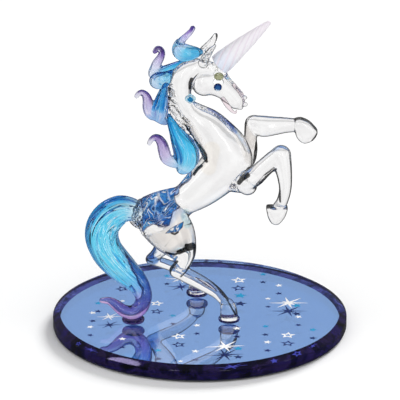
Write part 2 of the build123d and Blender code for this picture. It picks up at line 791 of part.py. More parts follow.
export_step(left_fore_hoof.part, "parts/left_fore_hoof.step")
export_step(right_foreleg.part, "parts/right_foreleg.step")
export_step(right_fore_hoof.part, "parts/right_fore_hoof.step")
export_step(right_hind_leg.part, "parts/right_hind_leg.step")
export_step(right_hind_hoof.part, "parts/right_hind_hoof.step")
export_step(left_hind_leg.part, "parts/left_hind_leg.step")
export_step(left_hind_hoof.part, "parts/left_hind_hoof.step")
export_step(tail.part, "parts/tail.step")
export_step(tail_curl.part, "parts/tail_curl.step")
export_step(tail_glue.part, "parts/tail_glue.step")
export_step(left_hind_glue.part, "parts/left_hind_glue.step")
export_step(right_hind_glue.part, "parts/right_hind_glue.step")
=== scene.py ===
import json
import math
from itertools import product

import bmesh
import bpy
import numpy as np
from mathutils import Matrix, Vector

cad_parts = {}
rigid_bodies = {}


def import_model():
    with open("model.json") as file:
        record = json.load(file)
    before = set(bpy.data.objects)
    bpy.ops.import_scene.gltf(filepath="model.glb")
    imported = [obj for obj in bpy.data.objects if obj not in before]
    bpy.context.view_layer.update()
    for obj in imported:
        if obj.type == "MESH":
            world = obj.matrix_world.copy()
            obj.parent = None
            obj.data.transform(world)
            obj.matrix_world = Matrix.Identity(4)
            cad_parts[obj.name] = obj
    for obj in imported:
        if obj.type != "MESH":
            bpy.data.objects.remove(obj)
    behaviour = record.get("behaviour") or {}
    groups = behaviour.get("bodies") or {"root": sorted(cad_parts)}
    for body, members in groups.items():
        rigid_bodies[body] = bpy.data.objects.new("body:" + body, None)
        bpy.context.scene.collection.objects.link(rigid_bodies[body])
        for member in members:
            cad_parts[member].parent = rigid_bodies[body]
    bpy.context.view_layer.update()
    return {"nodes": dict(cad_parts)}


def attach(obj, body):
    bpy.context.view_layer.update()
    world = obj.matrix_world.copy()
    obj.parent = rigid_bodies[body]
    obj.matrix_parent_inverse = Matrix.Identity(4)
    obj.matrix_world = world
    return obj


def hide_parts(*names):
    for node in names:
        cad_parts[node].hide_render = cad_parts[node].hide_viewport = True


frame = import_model()
nodes = frame["nodes"]
scene = bpy.context.scene

# Lengths in this script are millimetres until a mesh is made.
MM = 0.001
SIDE_Y = 3.0            # the animal's middle plane
FOOT_Z = 7.5            # soles stand on the glue films
TOP_Z = 7.2             # top of the mirror disc
GLASS_Z = 1.2           # silvered face of the disc
BASE_R = 63.5
CELL = 0.42             # grid of the body's volume


# ============================================================ node helpers
def new_material(name):
    m = bpy.data.materials.new(name)
    m.use_nodes = True
    m.node_tree.nodes.clear()
    out = m.node_tree.nodes.new("ShaderNodeOutputMaterial")
    return m, m.node_tree, out


def add(tree, kind, inputs=None, **props):
    n = tree.nodes.new(kind)
    for k, v in props.items():
        setattr(n, k, v)
    for k, v in (inputs or {}).items():
        s = n.inputs[k]
        if isinstance(v, bpy.types.NodeSocket):
            tree.links.new(v, s)
        else:
            s.default_value = v
    return n


def math_node(tree, op, a, b=None, c=None, clamp=False):
    n = add(tree, "ShaderNodeMath", operation=op, use_clamp=clamp)
    for i, v in enumerate((a, b, c)):
        if v is None:
            continue
        if isinstance(v, bpy.types.NodeSocket):
            tree.links.new(v, n.inputs[i])
        else:
            n.inputs[i].default_value = v
    return n.outputs[0]


def ramp(tree, fac, stops, mode="LINEAR"):
    n = add(tree, "ShaderNodeValToRGB", {"Fac": fac})
    n.color_ramp.interpolation = mode
    el = n.color_ramp.elements
    while len(el) < len(stops):
        el.new(0.5)
    for e, (p, c) in zip(el, stops):
        e.position = p
        e.color = (*c, 1.0) if len(c) == 3 else c
    return n.outputs["Color"]


def mix_colour(tree, fac, a, b, blend="MIX"):
    n = add(tree, "ShaderNodeMix", data_type="RGBA", blend_type=blend)
    for idx, v in ((0, fac), (6, a), (7, b)):
        s = n.inputs[idx]
        if isinstance(v, bpy.types.NodeSocket):
            tree.links.new(v, s)
        elif idx == 0:
            s.default_value = v
        else:
            s.default_value = (*v, 1.0)
    return n.outputs[2]


def grey(v):
    return (v, v, v)


def srgb(r, g, b):
    """8-bit display colour to linear."""
    out = []
    for c in (r, g, b):
        c /= 255
        out.append(c / 12.92 if c <= 0.04045 else ((c + 0.055) / 1.055) ** 2.4)
    return tuple(out)


def map_range(tree, v, a, b, c=0.0, d=1.0, smooth=True):
    n = add(tree, "ShaderNodeMapRange", {"Value": v, "From Min": a, "From Max": b,
                                         "To Min": c, "To Max": d})
    n.interpolation_type = "SMOOTHSTEP" if smooth else "LINEAR"
    return n.outputs[0]


# ================================================================== curves
def smooth_chain(rows, step=0.8):
    """Stations x, y, z, radius, ratio on a smooth curve through the rows."""
    rows = np.array([tuple(r) + (1.0,) * (5 - len(r)) for r in rows], float)
    p = np.vstack([2 * rows[0] - rows[1], rows, 2 * rows[-1] - rows[-2]])
    out = []
    for i in range(1, len(p) - 2):
        a, b, c, d = p[i - 1:i + 3]
        n = max(2, int(np.ceil(np.linalg.norm((c - b)[:3]) / step)))
        t = (np.arange(n) / n)[:, None]
        out.append(0.5 * (2 * b + (c - a) * t + (2 * a - 5 * b + 4 * c - d) * t ** 2
                          + (3 * b - a - 3 * c + d) * t ** 3))
    q = np.vstack(out + [p[-2][None]])
    q[:, 3] = np.maximum(q[:, 3], 0.05)
    return q


def frames_of(q):
    """Tangent, width direction (along Y) and normal at each station."""
    t = np.gradient(q[:, :3], axis=0)
    t /= np.linalg.norm(t, axis=1)[:, None]
    y = np.array([0.0, 1.0, 0.0])
    w = y - t * (t @ y)[:, None]
    w /= np.linalg.norm(w, axis=1)[:, None]
    return t, w, np.cross(t, w)


# ================================================================== volume
class Field:
    """Signed distance to a set of rounded runs, on a regular grid."""

    def __init__(self, low, high, cell):
        self.low = np.array(low, float)
        self.cell = cell
        self.n = np.ceil((np.array(high) - self.low) / cell).astype(int) + 1

    def blank(self):
        return np.full(self.n, 4.0, np.float32)

    def run(self, rows, step=1.2, pad=3.6, grow=0.0):
        """Hard union of the cone segments of one run."""
        d = self.blank()
        q = smooth_chain(rows, step)
        q[:, 3] += grow
        for a, b in zip(q[:-1], q[1:]):
            r = max(a[3], b[3]) * max(a[4], b[4], 1.0) + pad
            lo = np.minimum(a[:3], b[:3]) - r
            hi = np.maximum(a[:3], b[:3]) + r
            i0 = np.clip(np.floor((lo - self.low) / self.cell).astype(int), 0, self.n)
            i1 = np.clip(np.ceil((hi - self.low) / self.cell).astype(int) + 1, 0, self.n)
            if np.any(i1 <= i0):
                continue
            x, y, z = (self.low[k] + np.arange(i0[k], i1[k]) * self.cell for k in range(3))
            ab = b[:3] - a[:3]
            den = max(float(ab @ ab), 1e-9)
            px, py, pz = x[:, None, None] - a[0], y[None, :, None] - a[1], z[None, None, :] - a[2]
            t = np.clip((px * ab[0] + py * ab[1] + pz * ab[2]) / den, 0, 1)
            rad = a[3] + (b[3] - a[3]) * t
            rat = a[4] + (b[4] - a[4]) * t
            dx, dy, dz = px - ab[0] * t, py - ab[1] * t, pz - ab[2] * t
            dist = np.sqrt(dx * dx + (dy / rat) ** 2 + dz * dz) - rad
            dist *= np.where(np.abs(dy) > 0.7 * np.sqrt(dx * dx + dz * dz), rat, 1.0) ** 0.5
            cut = tuple(slice(i0[k], i1[k]) for k in range(3))
            d[cut] = np.minimum(d[cut], dist)
        return d

    def ball(self, centre, radius):
        return self.ellipsoid(centre, (radius,) * 3)

    def ellipsoid(self, centre, radii):
        d = self.blank()
        c, r = np.array(centre, float), np.array(radii, float)
        i0 = np.clip(np.floor((c - r - 3 - self.low) / self.cell).astype(int), 0, self.n)
        i1 = np.clip(np.ceil((c + r + 3 - self.low) / self.cell).astype(int) + 1, 0, self.n)
        x, y, z = (self.low[k] + np.arange(i0[k], i1[k]) * self.cell - c[k] for k in range(3))
        k0 = np.sqrt((x[:, None, None] / r[0]) ** 2 + (y[None, :, None] / r[1]) ** 2
                     + (z[None, None, :] / r[2]) ** 2)
        d[tuple(slice(i0[k], i1[k]) for k in range(3))] = (k0 - 1) * r.min()
        return d

    def grid(self):
        return np.meshgrid(*(self.low[k] + np.arange(self.n[k]) * self.cell for k in range(3)),
                           indexing="ij", sparse=True)

    def sample(self, d, p):
        """Trilinear value at points."""
        u = np.clip((p - self.low) / self.cell, 0, np.array(d.shape) - 1.001)
        i = np.floor(u).astype(int)
        f = u - i
        v = 0
        for dx, dy, dz in product((0, 1), repeat=3):
            w = ((f[:, 0] if dx else 1 - f[:, 0]) * (f[:, 1] if dy else 1 - f[:, 1])
                 * (f[:, 2] if dz else 1 - f[:, 2]))
            v = v + w * d[i[:, 0] + dx, i[:, 1] + dy, i[:, 2] + dz]
        return v

    def slope(self, d, p, h=None):
        h = h or self.cell * 0.75
        g = np.empty_like(p)
        for k in range(3):
            e = np.zeros(3)
            e[k] = h
            g[:, k] = (self.sample(d, p + e) - self.sample(d, p - e)) / (2 * h)
        return g


def smin(a, b, k):
    """Union with a rounded crease."""
    h = np.maximum(k - np.abs(a - b), 0) / k
    return np.minimum(a, b) - h * h * k / 4


def smax(a, b, k):
    return -smin(-a, -b, k)


def blur(d, times=1):
    for _ in range(times):
        for ax in range(3):
            p = np.pad(d, [(1, 1) if k == ax else (0, 0) for k in range(3)], mode="edge")
            lo = [slice(None)] * 3
            mid = [slice(None)] * 3
            hi = [slice(None)] * 3
            lo[ax], mid[ax], hi[ax] = slice(0, -2), slice(1, -1), slice(2, None)
            d = 0.25 * p[tuple(lo)] + 0.5 * p[tuple(mid)] + 0.25 * p[tuple(hi)]
    return d


def surface_nets(d, low, cell):
    """Quads on the zero surface of a grid."""
    inside = d < 0
    nx, ny, nz = d.shape
    count = np.zeros((nx - 1, ny - 1, nz - 1), np.int8)
    for a, b, c in product((0, 1), repeat=3):
        count += inside[a:nx - 1 + a, b:ny - 1 + b, c:nz - 1 + c]
    ids = np.argwhere((count > 0) & (count < 8))
    index = np.full(count.shape, -1, np.int64)
    index[tuple(ids.T)] = np.arange(len(ids))
    pos, hits = np.zeros((len(ids), 3)), np.zeros(len(ids))
    corners = list(product((0, 1), repeat=3))
    for a in corners:
        for ax in range(3):
            if a[ax]:
                continue
            b = list(a)
            b[ax] = 1
            va = d[ids[:, 0] + a[0], ids[:, 1] + a[1], ids[:, 2] + a[2]]
            vb = d[ids[:, 0] + b[0], ids[:, 1] + b[1], ids[:, 2] + b[2]]
            on = (va < 0) != (vb < 0)
            t = np.where(on, va / np.where(va == vb, 1, va - vb), 0)
            p = np.array(a, float)[None] + t[:, None] * (np.array(b) - np.array(a))[None]
            pos[on] += p[on]
            hits[on] += 1
    verts = np.array(low) + (ids + pos / hits[:, None]) * cell
    quads = []
    for ax in range(3):
        o1, o2 = [k for k in range(3) if k != ax]
        s0, s1 = [slice(1, -1)] * 3, [slice(1, -1)] * 3
        s0[ax], s1[ax] = slice(0, -1), slice(1, None)
        a, b = inside[tuple(s0)], inside[tuple(s1)]
        e = np.argwhere(a != b)
        first_in = a[tuple(e.T)]
        base = e.copy()
        base[:, o1] += 1
        base[:, o2] += 1
        ring = []
        for u, v in ((-1, -1), (0, -1), (0, 0), (-1, 0)):
            c = base.copy()
            c[:, o1] += u
            c[:, o2] += v
            ring.append(index[tuple(c.T)])
        q = np.stack(ring, 1)
        flip = first_in if ax != 1 else ~first_in
        q[~flip] = q[~flip][:, ::-1]
        quads.append(q)
    return verts, np.vstack(quads)


# ================================================================= meshes
def make_object(name, verts, faces, materials, smooth=True, face_slots=None):
    """verts in millimetres."""
    me = bpy.data.meshes.new(name)
    me.from_pydata((np.asarray(verts) * MM).tolist(), [], [list(map(int, f)) for f in faces])
    for m in materials:
        me.materials.append(m)
    if face_slots is not None:
        me.polygons.foreach_set("material_index", np.asarray(face_slots, np.int32))
    me.polygons.foreach_set("use_smooth", np.full(len(me.polygons), smooth))
    me.update()
    ob = bpy.data.objects.new(name, me)
    scene.collection.objects.link(ob)
    return ob


def put(ob, slot, *cad):
    """The piece stands for these CAD nodes and rides on the figurine."""
    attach(ob, "root")
    if cad:
        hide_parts(*cad)
    return ob


def vector_attribute(ob, name, values):
    at = ob.data.attributes.new(name, "FLOAT_VECTOR", "POINT")
    at.data.foreach_set("vector", np.asarray(values, np.float32).ravel())


def float_attribute(ob, name, values):
    at = ob.data.attributes.new(name, "FLOAT", "POINT")
    at.data.foreach_set("value", np.asarray(values, np.float32).ravel())


def tube(name, rows, materials, around=64, step=0.5, shape=None, dome_steps=7,
         start_dome=0.5, end_dome=1.0, twist=0.0):
    """A closed, round-ended tube along the rows. shape(theta, s, t) scales the
    radius; theta is 0 on the side turned to the viewer's left hand (-Y)."""
    q = smooth_chain(rows, step)
    t, w, n = frames_of(q)
    s = np.concatenate([[0], np.cumsum(np.linalg.norm(np.diff(q[:, :3], axis=0), axis=1))])
    rings, arc, centre, rad = [], [], [], []

    def station(c, tt, ww, nn, r, ratio, at):
        centre.append((c, ww, nn, r, ratio))
        arc.append(at)

    if start_dome:
        for k in range(1, dome_steps):
            a = math.pi / 2 * (1 - k / dome_steps)
            station(q[0, :3] - t[0] * q[0, 3] * start_dome * math.sin(a), t[0], w[0], n[0],
                    q[0, 3] * math.cos(a), q[0, 4], s[0] - q[0, 3] * start_dome * math.sin(a))
    for i in range(len(q)):
        station(q[i, :3], t[i], w[i], n[i], q[i, 3], q[i, 4], s[i])
    if end_dome:
        for k in range(1, dome_steps):
            a = math.pi / 2 * k / dome_steps
            station(q[-1, :3] + t[-1] * q[-1, 3] * end_dome * math.sin(a), t[-1], w[-1], n[-1],
                    q[-1, 3] * math.cos(a), q[-1, 4], s[-1] + q[-1, 3] * end_dome * math.sin(a))
    arc = np.array(arc)
    theta = np.arange(around) / around * 2 * math.pi
    verts, flow, frac = [], [], []
    total = s[-1]
    for (c, ww, nn, r, ratio), at in zip(centre, arc):
        th = theta
        k = np.ones(around) if shape is None else shape(th, at, at / total)
        # ratio flattens the section across the animal's width
        p = (c[None] - ww[None] * (np.cos(th) * r * ratio * k)[:, None]
             + nn[None] * (np.sin(th) * r * k)[:, None])
        verts.append(p)
        flow.append(np.stack([np.cos(th + twist * at), np.sin(th + twist * at),
                              np.full(around, at)], 1))
        frac.append(np.full(around, at / total))
    m = len(verts)
    verts = np.vstack(verts)
    flow = np.vstack(flow)
    frac = np.concatenate(frac)
    a = np.arange(around)
    b = (a + 1) % around
    faces = []
    for i in range(m - 1):
        o = i * around
        faces.append(np.stack([o + a, o + around + a, o + around + b, o + b], 1))
    faces = np.vstack(faces).tolist()
    first = q[0, :3] - t[0] * q[0, 3] * start_dome
    last = q[-1, :3] + t[-1] * q[-1, 3] * end_dome
    p0, p1 = len(verts), len(verts) + 1
    verts = np.vstack([verts, first, last])
    flow = np.vstack([flow, [0, 0, arc[0]], [0, 0, arc[-1]]])
    frac = np.concatenate([frac, [arc[0] / total, arc[-1] / total]])
    o = (m - 1) * around
    for i in range(around):
        faces.append([p0, i, int(b[i])])
        faces.append([p1, o + int(b[i]), o + i])
    ob = make_object(name, verts, faces, materials)
    vector_attribute(ob, "flow", flow)
    float_attribute(ob, "along", np.clip(frac, 0, 1))
    check_outward(ob)
    return ob


def check_outward(ob):
    """Turns the faces outward if the closed mesh came out inside out."""
    bm = bmesh.new()
    bm.from_mesh(ob.data)
    if bm.calc_volume(signed=True) < 0:
        bmesh.ops.reverse_faces(bm, faces=bm.faces)
        bm.to_mesh(ob.data)
    bm.free()

# ============================================================== materials
# colour ramps of the painted dark edges (painted shade): the glass colour by how far its surface turns away from the
# ray
CLEAR_EDGE = [(0.0, grey(1.0)), (0.50, grey(0.96)), (0.64, grey(0.62)), (0.76, grey(0.10)),
              (0.86, grey(0.02)), (1.0, grey(0.005))]
BLUE_EDGE = [(0.0, grey(1.0)), (0.56, (0.97, 0.98, 1.0)), (0.80, (0.45, 0.62, 0.88)),
             (0.93, (0.05, 0.12, 0.42)), (1.0, (0.01, 0.03, 0.18))]
VIOLET_EDGE = [(0.0, grey(1.0)), (0.56, (0.98, 0.97, 0.99)), (0.80, (0.55, 0.48, 0.78)),
               (0.93, (0.10, 0.06, 0.26)), (1.0, (0.03, 0.01, 0.10))]


def attribute(tree, name, output="Fac"):
    return add(tree, "ShaderNodeAttribute", attribute_name=name).outputs[output]


def dark_edges(tree, colour, stops, shift=None):
    """Painted shade: the glass colour darkens where its surface turns away from the ray, less so from inside; shift
    widens the dark edge.
    """
    facing = add(tree, "ShaderNodeLayerWeight", {"Blend": 0.5}).outputs["Facing"]
    if shift is not None:
        facing = math_node(tree, "ADD", facing, shift, clamp=True)
    inner = add(tree, "ShaderNodeNewGeometry").outputs["Backfacing"]
    tone = mix_colour(tree, math_node(tree, "MULTIPLY", inner, 0.65), ramp(tree, facing, stops), (1.0, 1.0, 1.0))
    return mix_colour(tree, 1.0, colour, tone, "MULTIPLY")


def glass_shader(tree, out, colour, rough=0.0, ior=1.5, normal=None, transmission=1.0):
    p = add(tree, "ShaderNodeBsdfPrincipled",
            {"Roughness": rough, "IOR": ior, "Transmission Weight": transmission})
    if isinstance(colour, bpy.types.NodeSocket):
        tree.links.new(colour, p.inputs["Base Color"])
    else:
        p.inputs["Base Color"].default_value = (*colour, 1.0)
    if normal is not None:
        tree.links.new(normal, p.inputs["Normal"])
    tree.links.new(p.outputs[0], out.inputs["Surface"])
    return p


def clear_glass(name="clear_glass", swirls=False, shift=None, hue=(1.0, 1.0, 1.0)):
    """Clear glass with faint grey cords. The mesh carries its painted edge shade, tint, swirl, milk and painted light
    weights.
    """
    m, t, out = new_material(name)
    clear = 1.0
    co = add(t, "ShaderNodeTexCoord").outputs["Object"]
    cords = add(t, "ShaderNodeTexNoise", {"Vector": co, "Scale": 95.0, "Detail": 2.0, "Distortion": 1.2})
    tint = ramp(t, cords.outputs["Fac"], [(0.33, (0.93, 0.92, 0.925)), (0.52, (0.98, 0.975, 0.975)),
                                          (0.75, (0.995, 0.995, 0.995))])
    tint = mix_colour(t, 1.0, tint, hue, "MULTIPLY")
    if swirls:
        tint = mix_colour(t, 1.0, tint, attribute(t, "tint", "Color"), "MULTIPLY")
        shift = attribute(t, "edge_shade")
    tint = dark_edges(t, tint, CLEAR_EDGE, shift)
    if swirls:
        # blue glass stirred into the croup, with navy and white threads
        blue, deep, navy = srgb(40, 122, 198), srgb(28, 86, 164), srgb(14, 28, 84)
        light, pale, white = srgb(84, 146, 206), srgb(160, 198, 232), srgb(246, 248, 250)
        # the folds run up and forward along the croup
        fold = [add(t, "ShaderNodeVectorMath", {0: co, 1: way}, operation="DOT_PRODUCT").outputs["Value"]
                for way in ((70.0, 0.0, 60.0), (-124.0, 36.0, 146.0), (0.0, 96.0, 0.0))]
        fold = add(t, "ShaderNodeCombineXYZ", {0: fold[0], 1: fold[1], 2: fold[2]}).outputs[0]
        warp = add(t, "ShaderNodeTexNoise", {"Vector": fold, "Scale": 1.0, "Detail": 1.0, "Distortion": 1.0})
        bands = ramp(t, warp.outputs["Fac"],
                     [(0.30, blue), (0.345, deep), (0.358, white), (0.368, white), (0.378, navy), (0.40, blue),
                      (0.44, light), (0.455, navy), (0.475, blue), (0.532, blue), (0.546, white), (0.560, white),
                      (0.570, navy), (0.595, deep), (0.63, blue), (0.645, pale), (0.66, navy), (0.69, blue),
                      (0.715, white), (0.73, white), (0.745, navy), (0.77, light)])
        bands = mix_colour(t, math_node(t, "MULTIPLY", attribute(t, "milk"), 0.8), bands, white)
        bands = dark_edges(t, bands, BLUE_EDGE)
        rough = add(t, "ShaderNodeTexNoise", {"Vector": co, "Scale": 150.0, "Detail": 0.0})
        where = math_node(t, "ADD", attribute(t, "swirl"),
                          math_node(t, "MULTIPLY_ADD", rough.outputs["Fac"], 0.4, -0.2))
        line = map_range(t, math_node(t, "ABSOLUTE", math_node(t, "SUBTRACT", where, 0.46)), 0.09, 0.05)
        patch = map_range(t, where, 0.46, 0.52)
        tint = mix_colour(t, patch, tint, bands)
        tint = mix_colour(t, math_node(t, "MULTIPLY", line, 0.85), tint, navy)
        # the stirred croup lets less light through, and so does the painted light: a warm milky white on the near
        # thigh and along the neck and shoulder
        tint = mix_colour(t, math_node(t, "MULTIPLY", attribute(t, "light_patch"), 1.0), tint, srgb(255, 250, 244), "MULTIPLY")
        dense = math_node(t, "MAXIMUM", math_node(t, "MULTIPLY", patch, 0.36),
                          math_node(t, "MULTIPLY", attribute(t, "light_patch"), 0.72))
        clear = math_node(t, "SUBTRACT", 1.0, dense)
    wave = add(t, "ShaderNodeTexNoise", {"Vector": co, "Scale": 210.0, "Detail": 1.5})
    bump = add(t, "ShaderNodeBump", {"Strength": 0.035, "Distance": 0.0012,
                                     "Height": wave.outputs["Fac"]})
    glass_shader(t, out, tint, ior=1.44, normal=bump.outputs[0], transmission=clear)
    return m


def drawn_glass(name, stops, layers=(), light=None, dark=None, k_around=1.6, k_along=0.1,
                light_share=(0.52, 0.66), dark_share=(0.36, 0.28), bump=0.1, seed=0.0,
                edge=BLUE_EDGE, lines=(), tip_edge=None):
    """Coloured glass drawn out along a piece. stops colour it along its length; each
    layer is (colours across with alpha, strength along). Each of the lines is (threads
    around, share, colour, strength across, strength along). light lays pale streaks, partly
    pale glass and partly painted highlight; edge is the ramp of the painted dark edge. A lock with a tip has the lock
    in the first half of its length and the tip, which can take its own painted dark edge from tip_edge, in the second."""
    m, t, out = new_material(name)
    along = attribute(t, "along")
    c = ramp(t, along, stops)
    flow = add(t, "ShaderNodeAttribute", attribute_name="flow").outputs["Vector"]
    co = add(t, "ShaderNodeVectorMath", {0: flow, 1: (k_around, k_around, k_along)},
             operation="MULTIPLY").outputs[0]
    n1 = add(t, "ShaderNodeTexNoise", {"Vector": co, "W": seed, "Scale": 1.0, "Detail": 3.0,
                                       "Roughness": 0.55}, noise_dimensions="4D")
    n2 = add(t, "ShaderNodeTexNoise", {"Vector": co, "W": seed + 7.3, "Scale": 1.9, "Detail": 2.0},
             noise_dimensions="4D")
    if isinstance(light, list):
        light = ramp(t, along, light)
    if isinstance(dark, list):
        dark = ramp(t, along, dark)
    # pale streaks: partly pale glass, partly painted highlight
    if light is not None:
        c = mix_colour(t, map_range(t, n1.outputs["Fac"], *light_share), c, light)
    if dark is not None:
        c = mix_colour(t, map_range(t, n2.outputs["Fac"], *dark_share), c, dark)
    across = add(t, "ShaderNodeSeparateXYZ", {0: flow}).outputs[1]
    across = math_node(t, "MULTIPLY_ADD", across, 0.5, 0.5)
    wobble = math_node(t, "MULTIPLY_ADD", n1.outputs["Fac"], 0.16, -0.08)
    across = math_node(t, "ADD", across, wobble, clamp=True)
    for colours, gate in layers:
        n = add(t, "ShaderNodeValToRGB", {"Fac": across})
        el = n.color_ramp.elements
        while len(el) < len(colours):
            el.new(0.5)
        for e, (p, rgb, a) in zip(el, colours):
            e.position = p
            e.color = (*rgb, a)
        g = ramp(t, along, [(p, grey(v)) for p, v in gate])
        w = math_node(t, "MULTIPLY", n.outputs["Alpha"], g)
        c = mix_colour(t, w, c, n.outputs["Color"])
    for k, (threads, share, colour, sides, gate) in enumerate(lines):
        fine = add(t, "ShaderNodeVectorMath", {0: flow, 1: (threads, threads, 0.02 * threads ** 0.5)},
                   operation="MULTIPLY").outputs[0]
        n = add(t, "ShaderNodeTexNoise", {"Vector": fine, "W": seed + 3.1 * k + 11.0, "Scale": 1.0,
                                          "Detail": 0.0}, noise_dimensions="4D")
        off = math_node(t, "ABSOLUTE", math_node(t, "SUBTRACT", n.outputs["Fac"], 0.5))
        w = map_range(t, off, share, share * 0.4)
        w = math_node(t, "MULTIPLY", w, ramp(t, across, [(p, grey(v)) for p, v in sides]))
        w = math_node(t, "MULTIPLY", w, ramp(t, along, [(p, grey(v)) for p, v in gate]))
        c = mix_colour(t, w, c, colour)
    if tip_edge is None:
        c = dark_edges(t, c, edge)
    else:
        c = mix_colour(t, map_range(t, along, 0.47, 0.53), dark_edges(t, c, edge), dark_edges(t, c, tip_edge))
    b = add(t, "ShaderNodeBump", {"Strength": bump, "Distance": 0.001, "Height": n1.outputs["Fac"]})
    glass_shader(t, out, c, normal=b.outputs[0])
    return m


def near_line(points, verts, radius, soft=0.8):
    """Weight of the vertices close to a line drawn in the side view (x, z)."""
    p = verts[:, [0, 2]]
    best = np.full(len(p), 1e9)
    pts = np.array(points, float)
    if len(pts) == 1:
        best = np.linalg.norm(p - pts[0], axis=1)
    for a, b in zip(pts[:-1], pts[1:]):
        ab = b - a
        k = np.clip(((p - a) @ ab) / max(ab @ ab, 1e-9), 0, 1)
        best = np.minimum(best, np.linalg.norm(p - a - k[:, None] * ab, axis=1))
    w = np.clip((radius - best) / soft + 0.5, 0, 1)
    return w * w * (3 - 2 * w)


def inside(outline, verts, soft):
    """Weight of the vertices inside an outline drawn in the side view (x, z)."""
    p = verts[:, [0, 2]]
    pts = np.array(outline, float)
    best = np.full(len(p), 1e9)
    odd = np.zeros(len(p), bool)
    for a, b in zip(pts, np.roll(pts, -1, 0)):
        ab = b - a
        k = np.clip(((p - a) @ ab) / max(ab @ ab, 1e-9), 0, 1)
        best = np.minimum(best, np.linalg.norm(p - a - k[:, None] * ab, axis=1))
        cross = (a[1] > p[:, 1]) != (b[1] > p[:, 1])
        at = a[0] + (p[:, 1] - a[1]) / (b[1] - a[1] if b[1] != a[1] else 1e-9) * ab[0]
        odd ^= cross & (p[:, 0] < at)
    return np.clip(0.5 + np.where(odd, best, -best) / soft, 0, 1)


def ripples(p, wave, seed=0.0):
    """Smooth, wandering waves, about -1 to 1."""
    k = 2 * math.pi / wave
    x, y, z = p.T
    a = np.sin(k * (0.8 * x + 0.6 * z) + 2.1 * np.sin(0.45 * k * (z - 0.7 * x) + seed))
    b = np.sin(1.2 * k * (0.83 * z - 0.55 * x) + 1.7 * np.sin(0.5 * k * (x + 0.4 * y) + 2 * seed))
    c = np.sin(0.9 * k * y + 1.3 * np.sin(0.4 * k * x + seed))
    return (a * b + 0.5 * c) / 1.5


def prism(f, outline, y0, half, k):
    """A convex outline in the side view, extruded across the animal and rounded by k."""
    x, y, z = f.grid()
    pts = np.array(outline, float)
    mid = pts.mean(0)
    d = None
    for a, b in zip(pts, np.roll(pts, -1, 0)):
        n = np.array([b[1] - a[1], a[0] - b[0]])
        n /= np.linalg.norm(n)
        if (mid - a) @ n > 0:
            n = -n
        e = n[0] * (x - a[0]) + n[1] * (z - a[1]) + 0 * y
        d = e if d is None else smax(d, e, k)
    return smax(d, np.abs(y - y0) - half + 0 * d, 2.5 * k).astype(np.float32)


def strands(p, wave):
    """Fine waves that run down the crest like combed hair."""
    x, y, z = p.T
    u, v = 0.77 * x + 0.64 * z, 0.64 * x - 0.77 * z
    return np.sin(2 * math.pi / wave * (u + 0.5 * y) + 1.6 * np.sin(0.7 * v) + 0.9 * np.sin(1.9 * v + 0.8 * y))


def point_normals(verts, quads):
    v = verts[quads]
    n = np.cross(v[:, 2] - v[:, 0], v[:, 3] - v[:, 1])
    out = np.zeros_like(verts)
    for k in range(4):
        np.add.at(out, quads[:, k], n)
    return out / np.maximum(np.linalg.norm(out, axis=1), 1e-9)[:, None]


def relax(verts, quads, times=3):
    """Evens out the small steps of the grid without shrinking the piece."""
    a = np.concatenate([quads[:, [k, (k + 1) % 4]] for k in range(4)])
    count = np.maximum(np.bincount(a[:, 0], minlength=len(verts)), 1)
    for k in (0.5, -0.52) * times:
        mean = np.stack([np.bincount(a[:, 0], weights=verts[a[:, 1], i], minlength=len(verts)) for i in range(3)], 1)
        verts = verts + k * (mean / count[:, None] - verts)
    return verts


def along_run(rows, verts):
    """Place of the vertices by a run: length along it, part of its whole length, the two
    directions round it, distance in radii, the offset and the local radius."""
    q = smooth_chain(rows, 0.3)
    t, w, n = frames_of(q)
    s = np.concatenate([[0], np.cumsum(np.linalg.norm(np.diff(q[:, :3], axis=0), axis=1))])
    best = np.array([np.argmin(((q[:, :3] - p) ** 2).sum(1)) for p in verts])
    off = verts - q[best, :3]
    at = s[best] + (off * t[best]).sum(1)
    side = (off * n[best]).sum(1) / q[best, 3]
    depth = -(off * w[best]).sum(1) / (q[best, 3] * q[best, 4])
    return at, np.clip(at / s[-1], 0, 1), depth, side, np.hypot(side, depth), off, q[best, 3], s[-1]


